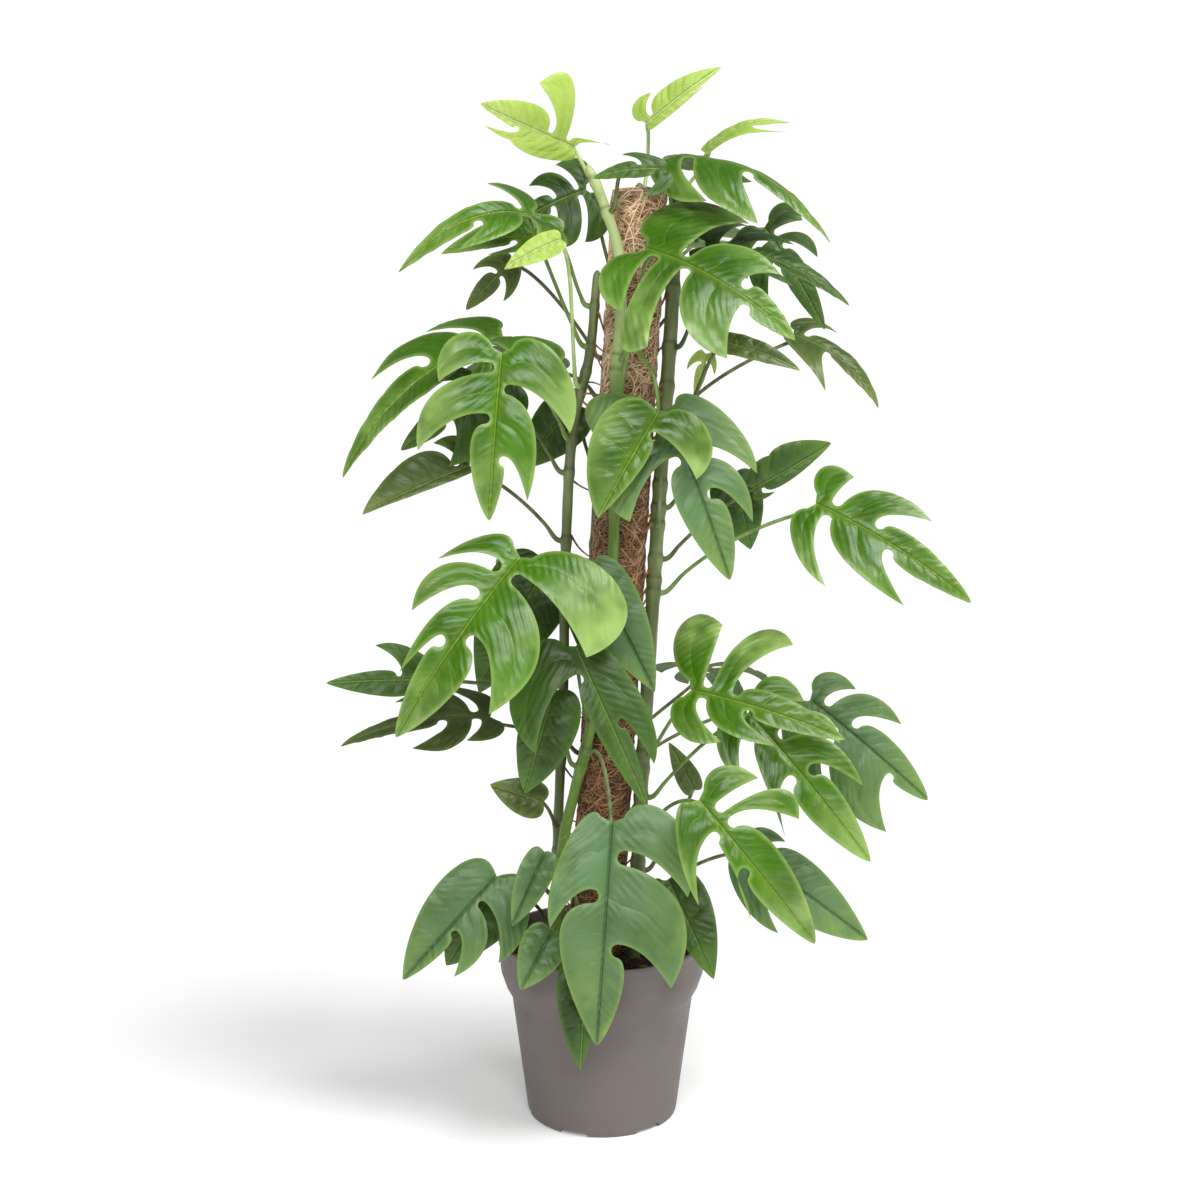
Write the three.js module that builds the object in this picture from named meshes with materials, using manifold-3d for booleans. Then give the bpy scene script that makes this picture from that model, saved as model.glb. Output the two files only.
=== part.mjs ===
// Mini monstera (Rhaphidophora tetrasperma) trained up a coir pole in a plastic nursery pot.
// Millimetres, +Z up. The origin is the middle of the pot's underside, and -Y is the front.
import * as THREE from "three";
import { mergeVertices } from "three/addons/utils/BufferGeometryUtils.js";
import Module from "manifold-3d";

const wasm = await Module();
wasm.setup();

// ---- Driving dimensions ----
const GAP = 0.35; // left between neighbouring pieces

const POT_HEIGHT = 165;
const POT_WALL = 1.8;
const POT_SIDES = 32;
const LIP_R = 95;
const COLLAR_R = 93.4; // the stacking collar under the lip
const COLLAR_Z = 138; // its lower edge
const BODY_TOP_R = 83;
const BODY_TOP_Z = 112;
const BODY_FOOT_R = 69.5;
const FOOT_R = 66.5;
const FOOT_CHANNEL = 5; // depth of the ring-shaped channel under the floor
const CHANNEL_IN_R = 40;
const CHANNEL_OUT_R = 60;
const FOOT_NOTCHES = 6;
const NOTCH_WIDTH = 28;
const DRAIN_HOLES = 6;
const DRAIN_R = 5;

const SOIL_Z = 150;
const SOIL_BUMP = 3.5;

const POLE_R = 24;
const POLE_ROUGHNESS = 0.8;
const POLE_SIDES = 18;
const POLE_ROWS = 17;
const POLE_FOOT = 60; // lower end of the coir
const POLE_TOP = 832;
const POLE_FOOT_X = -11.2;
const POLE_TOP_X = 32.4;
const CORE_R = 10;
const CORE_FOOT = 10;
const CORE_RECESS = 9; // the core ends this far below the coir's closed top

const STEM_FOOT = 70;
const STEM_BURIED = [STEM_FOOT, 110, 165]; // heights of the rings in and just above the soil
const STEM_SIDES = 6;
const NODE_SPACING = 90; // between the rings where a leaf leaves the stem
const NODE_SWELL = 1.28;

const BLADE = 0.8; // thickness of a blade
const PETIOLE_SIDES = 5;
const PETIOLE_STEPS = 4;
const PETIOLE_R = 1.8;
const SHEATH_R = 2.7; // of a petiole where it leaves the stem

// ---- Colours ----
const TAUPE = { color: 0x766c68, roughness: 0.55 };
const EARTH = { color: 0x3d2a1f, roughness: 0.95 };
const COIR = { color: 0x96603f, roughness: 0.95 };
const TIMBER = { color: 0xb08a5c, roughness: 0.8 };
const OLD_STEM = { color: 0x5c7040, roughness: 0.6 };
const YOUNG_STEM = { color: 0xb9cf84, roughness: 0.5 };
const BRIGHT = { color: 0x548c12, roughness: 0.38 };
const DEEP = { color: 0x31600f, roughness: 0.42 };
const GREY = { color: 0x6c8c5c, roughness: 0.4 };
const OLIVE = { color: 0x6b7c34, roughness: 0.5 };
const LIME = { color: 0xa8cc4e, roughness: 0.5 };

const DEGREE = Math.PI / 180;
const mix = (a, b, t) => a + (b - a) * t;
const clamp = (x, low, high) => Math.min(high, Math.max(low, x));

// ---- Solids ----
function solid(geometry) {
  const bare = geometry.index ? geometry.toNonIndexed() : geometry;
  bare.deleteAttribute("normal");
  bare.deleteAttribute("uv");
  const welded = mergeVertices(bare, 1e-4);
  return new wasm.Manifold(
    new wasm.Mesh({
      numProp: 3,
      vertProperties: welded.attributes.position.array,
      triVerts: new Uint32Array(welded.index.array),
    }),
  );
}

function solidOf(points, triangles) {
  const geometry = new THREE.BufferGeometry();
  const numbers = points.flatMap((p) => p.toArray());
  geometry.setAttribute("position", new THREE.Float32BufferAttribute(numbers, 3));
  geometry.setIndex(triangles.flat());
  return solid(geometry);
}

function meshOf(name, body, finish) {
  const made = body.getMesh();
  const geometry = new THREE.BufferGeometry();
  geometry.setAttribute("position", new THREE.BufferAttribute(made.vertProperties, 3));
  geometry.setIndex(new THREE.BufferAttribute(made.triVerts, 1));
  geometry.computeVertexNormals();
  const mesh = new THREE.Mesh(geometry, new THREE.MeshStandardMaterial({ ...finish, metalness: 0 }));
  mesh.name = name;
  return mesh;
}

// A closed turned body from [radius, height] pairs, from the axis outside and up, then inside and down.
function turned(pairs, sides) {
  const profile = pairs.map(([r, z]) => new THREE.Vector2(r, z));
  return solid(new THREE.LatheGeometry(profile, sides).rotateX(Math.PI / 2));
}

function cylinder(radius, from, to, sides) {
  return turned([[0, from], [radius, from], [radius, to], [0, to]], sides);
}

// Rings of points joined into one closed body, each end closed to its own middle.
function ringed(rings) {
  const sides = rings[0].length;
  const points = rings.flat();
  const triangles = [];
  for (let i = 0; i + 1 < rings.length; i++) {
    for (let j = 0; j < sides; j++) {
      const a = i * sides + j;
      const b = i * sides + ((j + 1) % sides);
      triangles.push([a, b, b + sides], [a, b + sides, a + sides]);
    }
  }
  for (const [first, flip] of [[0, true], [(rings.length - 1) * sides, false]]) {
    const middle = new THREE.Vector3();
    for (let j = 0; j < sides; j++) middle.addScaledVector(points[first + j], 1 / sides);
    const centre = points.push(middle) - 1;
    for (let j = 0; j < sides; j++) {
      const a = first + j;
      const b = first + ((j + 1) % sides);
      triangles.push(flip ? [b, a, centre] : [a, b, centre]);
    }
  }
  return solidOf(points, triangles);
}

// A round bar along a curve; radiusAt gives its radius at 0 to 1 of the length.
function bar(curve, steps, sides, radiusAt) {
  const rings = [];
  let across = new THREE.Vector3(1, 0.2, 0);
  for (let i = 0; i <= steps; i++) {
    const middle = curve.getPoint(i / steps);
    const along = curve.getTangent(i / steps);
    across = across.clone().addScaledVector(along, -across.dot(along)).normalize();
    const third = along.clone().cross(across);
    const ring = [];
    for (let j = 0; j < sides; j++) {
      const turn = (j / sides) * 2 * Math.PI;
      const radius = radiusAt(i / steps);
      ring.push(
        middle.clone()
          .addScaledVector(across, radius * Math.cos(turn))
          .addScaledVector(third, radius * Math.sin(turn)),
      );
    }
    rings.push(ring);
  }
  return ringed(rings);
}

// A repeatable value from -1 to 1 for a pair of whole numbers.
function scatter(i, j) {
  const wave = Math.sin(i * 127.1 + j * 311.7) * 43758.5453;
  return 2 * (wave - Math.floor(wave)) - 1;
}

// ---- Pot ----
const POT_OUTSIDE = [
  [CHANNEL_IN_R - 2, 0],
  [CHANNEL_IN_R, FOOT_CHANNEL],
  [CHANNEL_OUT_R, FOOT_CHANNEL],
  [CHANNEL_OUT_R + 1, 0],
  [FOOT_R, 0],
  [BODY_FOOT_R - 0.8, 3],
  [BODY_FOOT_R, 8],
  [BODY_TOP_R, BODY_TOP_Z],
  [COLLAR_R - 1.5, COLLAR_Z - 7],
  [COLLAR_R, COLLAR_Z],
  [COLLAR_R + 0.5, POT_HEIGHT - 6],
  [LIP_R, POT_HEIGHT - 4.5],
  [LIP_R, POT_HEIGHT - 0.8],
  [LIP_R - 0.8, POT_HEIGHT],
];
const POT_INSIDE = [
  [LIP_R - 2.4, POT_HEIGHT],
  [COLLAR_R - POT_WALL, POT_HEIGHT - 1],
  [COLLAR_R - POT_WALL - 0.2, COLLAR_Z],
  [BODY_TOP_R - POT_WALL, BODY_TOP_Z],
  [BODY_FOOT_R - POT_WALL, FOOT_CHANNEL + 2],
  [CHANNEL_IN_R - 1.5, FOOT_CHANNEL + 2],
  [CHANNEL_IN_R - 3.5, 2],
];

function pot() {
  let body = turned([[0, 0], ...POT_OUTSIDE, ...POT_INSIDE, [0, 2]], POT_SIDES);
  for (let i = 0; i < FOOT_NOTCHES; i++) {
    const notch = new THREE.BoxGeometry(NOTCH_WIDTH, 20, FOOT_CHANNEL);
    notch.translate(0, -FOOT_R, FOOT_CHANNEL / 2 - 0.4);
    notch.rotateZ((i / FOOT_NOTCHES) * 2 * Math.PI - 22 * DEGREE);
    body = body.subtract(solid(notch));
  }
  for (let i = 0; i < DRAIN_HOLES; i++) {
    const turn = ((i + 0.5) / DRAIN_HOLES) * 2 * Math.PI;
    const middle = (CHANNEL_IN_R + CHANNEL_OUT_R) / 2;
    const hole = cylinder(DRAIN_R, 0, 20, 8);
    body = body.subtract(hole.translate([middle * Math.cos(turn), middle * Math.sin(turn), 0]));
  }
  return body;
}

// ---- Pole ----
const poleX = (z) => mix(POLE_FOOT_X, POLE_TOP_X, (z - POLE_FOOT) / (POLE_TOP - POLE_FOOT));
const poleAt = (z) => new THREE.Vector3(poleX(z), 0, z);

// A column along the pole with level ends; radiusAt(row, side) gives its radius.
function column(from, to, rows, radiusAt) {
  const rings = [];
  for (let i = 0; i <= rows; i++) {
    const ring = [];
    for (let j = 0; j < POLE_SIDES; j++) {
      const turn = (j / POLE_SIDES) * 2 * Math.PI;
      const radius = radiusAt(i, j);
      const middle = poleAt(mix(from, to, i / rows));
      ring.push(middle.add(new THREE.Vector3(radius * Math.cos(turn), radius * Math.sin(turn), 0)));
    }
    rings.push(ring);
  }
  return ringed(rings);
}

function poleSleeve() {
  const rough = (i, j) => POLE_R + POLE_ROUGHNESS * scatter(i, j);
  const outside = column(POLE_FOOT, POLE_TOP, POLE_ROWS, rough);
  return outside.subtract(poleCore(GAP));
}

// The wooden stake inside the coir, or with a margin the room that it needs.
function poleCore(margin) {
  const ends = [CORE_FOOT - margin, POLE_TOP - CORE_RECESS + margin];
  const line = new THREE.LineCurve3(poleAt(ends[0]), poleAt(ends[1]));
  return bar(line, 1, 14, () => CORE_R + margin);
}

// ---- Stems ----
// Each climbs the pole through places given as [height, angle round the pole, distance off its surface].
// Angle 0 is to the right and -90 to the front.
const STEMS = {
  right: {
    radius: 6.2,
    finish: OLD_STEM,
    places: [
      [70, -35, 16], [150, -30, 16], [300, -22, 11], [450, -17, 10], [592, -15, 10], [720, -8, 10],
      [836, 8, 9],
    ],
  },
  front: {
    radius: 5,
    finish: YOUNG_STEM,
    places: [
      [70, -140, 20], [150, -148, 19], [261, -150, 16], [307, -143, 10], [362, -122, 8], [500, -100, 8],
      [675, -108, 14], [740, -107, 14], [780, -115, 14], [827, -144, 18], [852, -156, 27],
    ],
  },
  left: {
    radius: 4.6,
    finish: OLD_STEM,
    places: [
      [70, 172, 14], [150, 172, 14], [260, 172, 17], [400, 176, 19], [512, 180, 23], [636, 180, 22],
      [690, 178, 12], [765, 174, 9],
    ],
  },
  back: {
    radius: 5.5,
    finish: OLD_STEM,
    places: [[70, 78, 12], [150, 80, 10], [300, 95, 9], [550, 85, 9], [700, 88, 9], [842, 90, 8]],
  },
  back_left: {
    radius: 5,
    finish: OLD_STEM,
    places: [[70, 128, 12], [150, 128, 11], [300, 124, 9], [500, 130, 9], [705, 128, 9]],
  },
};

function beside(z, angle, off) {
  const out = POLE_R + off;
  const turn = angle * DEGREE;
  return poleAt(z).add(new THREE.Vector3(out * Math.cos(turn), out * Math.sin(turn), 0));
}

function stemCurve({ places }) {
  return new THREE.CatmullRomCurve3(places.map((place) => beside(...place)), false, "centripetal");
}

// Where on the stem's curve, from 0 to 1, it reaches a height.
function partAt(curve, z) {
  let low = 0;
  let high = 1;
  for (let i = 0; i < 30; i++) {
    const middle = (low + high) / 2;
    if (curve.getPoint(middle).z < z) low = middle;
    else high = middle;
  }
  return low;
}

function stem(spec) {
  const curve = stemCurve(spec);
  const top = spec.places.at(-1)[0];
  const nodes = Math.round((top - STEM_FOOT) / NODE_SPACING);
  const heights = [...STEM_BURIED];
  for (let i = 2; i < nodes; i++) {
    const z = mix(STEM_FOOT, top, i / nodes);
    heights.push(z - 9, z, z + 6);
  }
  heights.push(top - 12, top);
  const rings = heights.map((z) => {
    const swollen = heights.indexOf(z) % 3 === 1 && z > SOIL_Z + 20 && z < top - 12;
    const radius = spec.radius * (swollen ? NODE_SWELL : 1) * (z === top ? 0.75 : 1);
    return ringAcross(curve, z, radius, STEM_SIDES);
  });
  return ringed(rings);
}

function ringAcross(curve, z, radius, sides) {
  const part = partAt(curve, z);
  const along = curve.getTangent(part);
  const across = new THREE.Vector3(1, 0, 0).addScaledVector(along, -along.x).normalize();
  const third = along.clone().cross(across);
  const ring = [];
  for (let j = 0; j < sides; j++) {
    const turn = (j / sides) * 2 * Math.PI;
    ring.push(
      curve.getPoint(part)
        .addScaledVector(across, radius * Math.cos(turn))
        .addScaledVector(third, radius * Math.sin(turn)),
    );
  }
  return ring;
}

// The room that a stem needs in the soil.
function stemHole(spec) {
  const curve = stemCurve(spec);
  const rings = STEM_BURIED.map((z) => ringAcross(curve, z, spec.radius + GAP, STEM_SIDES));
  rings[0].forEach((point) => (point.z -= GAP));
  return ringed(rings);
}

// ---- Soil ----
function soil() {
  const sides = 22;
  const topR = mix(BODY_TOP_R, COLLAR_R, (SOIL_Z - BODY_TOP_Z) / (COLLAR_Z - BODY_TOP_Z));
  const wallR = Math.min(topR, COLLAR_R) - POT_WALL - 1.2;
  const floor = FOOT_CHANNEL + 2 + GAP;
  const rows = [
    [CHANNEL_IN_R - 4.2, 2 + GAP],
    [CHANNEL_IN_R - 2.2, floor],
    [BODY_FOOT_R - POT_WALL - 1, floor],
    [BODY_TOP_R - POT_WALL - 1, BODY_TOP_Z - 1],
    [wallR - 1, COLLAR_Z],
    [wallR, SOIL_Z - 3],
    [wallR - 12, SOIL_Z],
    [wallR * 0.45, SOIL_Z + 2],
  ];
  const rings = rows.map(([radius, z], i) => {
    const ring = [];
    for (let j = 0; j < sides; j++) {
      const turn = (j / sides) * 2 * Math.PI;
      const bump = i > 4 ? SOIL_BUMP * scatter(i, j) : 0;
      ring.push(new THREE.Vector3(radius * Math.cos(turn), radius * Math.sin(turn), z + bump));
    }
    return ring;
  });
  let body = ringed(rings);
  body = body.subtract(column(POLE_FOOT - GAP, SOIL_Z + 20, 1, () => POLE_R + POLE_ROUGHNESS + GAP));
  body = body.subtract(poleCore(GAP));
  for (const spec of Object.values(STEMS)) body = body.subtract(stemHole(spec));
  return body;
}

// ---- Leaves ----
// A blade is drawn flat first, as a share of its length: p runs from the petiole (0) to the tip (1),
// q to the side. On each side the last entry of a spec is the broadest place of the tip part, and the
// others are the tips of lobes, in hundredths.
// A lobe's third number is the width of its belly, where that isn't the width at its tip.
const WEB = 0.065; // what is left beside the midrib where the blade is cut in
const CUT = 0.03; // half the width of a cut at its round end
const SWEEP = 0.22; // a lobe's tip lies this far ahead of its cut, unless its leaf has its own sweep

function bezier(a, b, c, d) {
  const curve = new THREE.CubicBezierCurve(...[a, b, c, d].map(([p, q]) => new THREE.Vector2(p, q)));
  return (t) => curve.getPoint(t).toArray();
}

const between = ([p0, q0], [p1, q1], t) => [mix(p0, p1, t), mix(q0, q1, t)];

// The rear and front margins of each part of one side, and the stretch of midrib that carries it.
function sideParts(places, sweep) {
  const tips = places.map(([p, q, belly = q]) => [p / 100, q / 100, belly / 100]);
  const parts = [];
  let from = 0;
  tips.forEach(([p, q, belly], i) => {
    const last = i === tips.length - 1;
    const basal = i === 0;
    const start = basal ? [-0.02, WEB * 0.8] : [from + CUT, WEB];
    if (last) {
      const spread = clamp(q / 0.5, 0.3, 1);
      const rear = basal
        ? bezier(start, [-0.16 * spread - 0.04, q * 1.25], [p, q * 1.5], [1, 0])
        : bezier(start, [mix(from, p, 0.15), q * 1.5], [mix(p, 1, 0.45), q * 0.6], [1, 0]);
      parts.push({ from, to: 1, rear, last });
      return;
    }
    const to = Math.max(from + 0.1, p - sweep);
    const stop = [to - CUT, WEB];
    const spread = clamp(belly / 0.5, 0.4, 1);
    const rear = basal
      ? bezier(start, [-0.25 * spread, 0.12], [p - 0.42 * spread, belly * 1.3], [p, q])
      : bezier(start, [mix(start[0], p, 0.08), belly * 1.05],
        [mix(start[0], p, 0.5), mix(WEB, belly, 1.55)], [p, q]);
    const elbow = [to - 0.03, mix(WEB, q, 0.5)];
    const front = bezier(stop, between(stop, elbow, 0.67), between([p, q], elbow, 0.67), [p, q]);
    parts.push({ from, to, rear, front, last });
    from = to;
  });
  return parts;
}

const LOBE_ROWS = [0, 0.32, 0.66];
const TIP_ROWS = [0, 0.32, 0.68];
const COLUMNS = [0, 0.5, 1];
const MIDRIB_STATIONS = [0.35, 0.55, 0.75, 0.9];
const STATION_SPACE = 0.06;

// The places along the midrib that both sides share.
function stationsOf(sides) {
  const ends = new Set([0, 1, ...sides.flat().map((part) => part.from)]);
  const isClear = (p) => [...ends].every((end) => Math.abs(end - p) > STATION_SPACE);
  const clear = MIDRIB_STATIONS.filter(isClear);
  return [...ends, ...clear].sort((a, b) => a - b);
}

// Triangles between an outer and an inner line of flat points that run the same way.
function zip(outer, inner, triangle) {
  let i = 0;
  let j = 0;
  while (i + 1 < outer.length || j + 1 < inner.length) {
    const innerNext = i + 1 === outer.length
      || (j + 1 < inner.length && inner[j + 1][0] - inner[0][0] < outer[i + 1][0] - outer[0][0]);
    if (innerNext) triangle(outer[i], inner[j], inner[++j]);
    else triangle(outer[i], inner[j], outer[++i]);
  }
}

// Calls triangle(a, b, c) with flat points for one side, turning left.
function drawSide(parts, stations, triangle) {
  const strip = (one, two) => {
    for (let j = 0; j + 1 < one.length; j++) {
      triangle(one[j], one[j + 1], two[j + 1]);
      triangle(one[j], two[j + 1], two[j]);
    }
  };
  parts.forEach((part, i) => {
    const midrib = stations.filter((p) => p >= part.from && p <= part.to).map((p) => [p, 0]);
    if (part.last) {
      const rows = TIP_ROWS.map((t) => {
        const rib = [mix(part.from, 1, t), 0];
        return [part.rear(t), between(part.rear(t), rib, 0.5)];
      });
      for (let k = 0; k + 1 < rows.length; k++) strip(rows[k], rows[k + 1]);
      triangle(rows.at(-1)[0], rows.at(-1)[1], [1, 0]);
      zip(rows.map((row) => row[1]), midrib, triangle);
      if (i === 0) return;
      const cut = [part.from, WEB - CUT];
      triangle(cut, [part.from, 0], rows[0][1]);
      triangle(cut, rows[0][1], rows[0][0]);
      return;
    }
    const rows = LOBE_ROWS.map((t) => COLUMNS.map((u) => between(part.rear(t), part.front(t), u)));
    zip(rows[0], midrib, triangle);
    for (let k = 0; k + 1 < rows.length; k++) strip(rows[k], rows[k + 1]);
    const end = rows.at(-1);
    for (let j = 0; j + 1 < end.length; j++) triangle(end[j], end[j + 1], part.rear(1));
    const cut = [part.to, WEB - CUT];
    triangle([part.to, 0], cut, part.front(0));
    if (!parts[i + 1].last) triangle([part.to, 0], parts[i + 1].rear(0), cut);
  });
}

// How a flat blade bends in space: the midrib arches, and each side rises from it and then curls down.
function blade(spec) {
  const base = new THREE.Vector3(...spec.base);
  const ahead = new THREE.Vector3(...spec.tip).sub(base);
  const length = ahead.length();
  ahead.normalize();
  const up = new THREE.Vector3(...spec.face);
  up.addScaledVector(ahead, -up.dot(ahead)).normalize();
  const aside = up.clone().cross(ahead);
  const { arch = 0.08, fold = 12, curl = 1.3, wave = 0.02 } = spec;

  const normalAt = (p) => {
    const slope = Math.atan(arch * 4 * (1 - 2 * p));
    return up.clone().multiplyScalar(Math.cos(slope)).addScaledVector(ahead, -Math.sin(slope));
  };
  const place = (p, q) => {
    const lean = fold * DEGREE;
    const far = Math.abs(q);
    const out = (Math.sin(lean) - Math.sin(lean - curl * far)) / curl;
    const rise = (Math.cos(lean - curl * far) - Math.cos(lean)) / curl;
    const ripple = wave * far * 2 * Math.sin(9 * p + 2 * Math.sign(q));
    return base.clone()
      .addScaledVector(ahead, length * p)
      .addScaledVector(up, length * arch * 4 * p * (1 - p))
      .addScaledVector(aside, length * out * Math.sign(q))
      .addScaledVector(normalAt(p), length * (rise + ripple));
  };
  const lift = (p, q) => {
    if (Math.abs(q) < 1e-6) return normalAt(p);
    const here = place(p, q);
    const forward = place(p + 1e-3, q).sub(here);
    const sideways = place(p, q + 1e-3).sub(here);
    return forward.cross(sideways).normalize();
  };
  return { base, ahead, length, normalAt, place, lift };
}

function bladeSolid(spec, shape) {
  const flat = [];
  const index = new Map();
  const faces = [];
  const vertex = ([p, q]) => {
    const key = Math.round(p * 1e5) + " " + Math.round(q * 1e5);
    if (!index.has(key)) index.set(key, flat.push([p, q]) - 1);
    return index.get(key);
  };
  const sides = [spec.left, spec.right].map((pairs) => sideParts(pairs, spec.sweep ?? SWEEP));
  const stations = stationsOf(sides);
  drawSide(sides[0], stations, (a, b, c) => faces.push([a, b, c].map(vertex)));
  drawSide(sides[1], stations, (a, b, c) => {
    const mirrored = [a, c, b].map(([p, q]) => [p, -q]);
    faces.push(mirrored.map(vertex));
  });
  const count = flat.length;
  const top = flat.map(([p, q]) => shape.place(p, q));
  const under = flat.map(([p, q], i) => top[i].clone().addScaledVector(shape.lift(p, q), -BLADE));
  const triangles = [];
  const edges = new Map();
  for (const [a, b, c] of faces) {
    triangles.push([a, b, c], [a + count, c + count, b + count]);
    for (const [from, to] of [[a, b], [b, c], [c, a]]) edges.set(from + " " + to, [from, to]);
  }
  for (const [from, to] of edges.values()) {
    if (edges.has(to + " " + from)) continue;
    triangles.push([to, from, from + count], [to, from + count, to + count]);
  }
  return solidOf([...top, ...under], triangles);
}

// The leaf stalk, from just off its stem to under the midrib.
function petiole(spec, shape) {
  const { radius } = STEMS[spec.stem];
  const curve = stemCurve(STEMS[spec.stem]);
  const part = partAt(curve, spec.at);
  const centre = curve.getPoint(part);
  const along = curve.getTangent(part);
  const goal = (spec.via ? new THREE.Vector3(...spec.via[0]) : shape.base).clone().sub(centre);
  const away = goal.clone().addScaledVector(along, -goal.dot(along)).normalize();
  const start = centre.clone().addScaledVector(away, radius * NODE_SWELL + GAP + SHEATH_R * 0.9);
  const under = shape.normalAt(0);
  const end = shape.place(0.07, 0).addScaledVector(shape.normalAt(0.07), -PETIOLE_R * 0.9);
  const reach = start.distanceTo(end);
  const leave = start.clone().addScaledVector(along, reach * 0.3).addScaledVector(away, reach * 0.22);
  const arrive = shape.base.clone()
    .addScaledVector(under, -reach * 0.24)
    .addScaledVector(shape.ahead, -reach * 0.16);
  let route = new THREE.CubicBezierCurve3(start, leave, arrive, end);
  if (spec.via) {
    const way = spec.via.map((place) => new THREE.Vector3(...place));
    const close = shape.base.clone().addScaledVector(under, -2.4);
    route = new THREE.CatmullRomCurve3([start, ...way, close, end]);
  }
  return bar(route, PETIOLE_STEPS, PETIOLE_SIDES, (t) => mix(SHEATH_R, PETIOLE_R, Math.min(1, t * 5)));
}

function leaf(spec) {
  const shape = blade(spec);
  return bladeSolid(spec, shape).add(petiole(spec, shape));
}

// Lobe sets shared by several leaves.
const MEDIUM = { left: [[12, 36], [46, 28], [80, 12]], right: [[14, 34], [50, 30], [80, 11]] };
const PLAIN = { left: [[45, 20]], right: [[45, 20]] };

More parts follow.
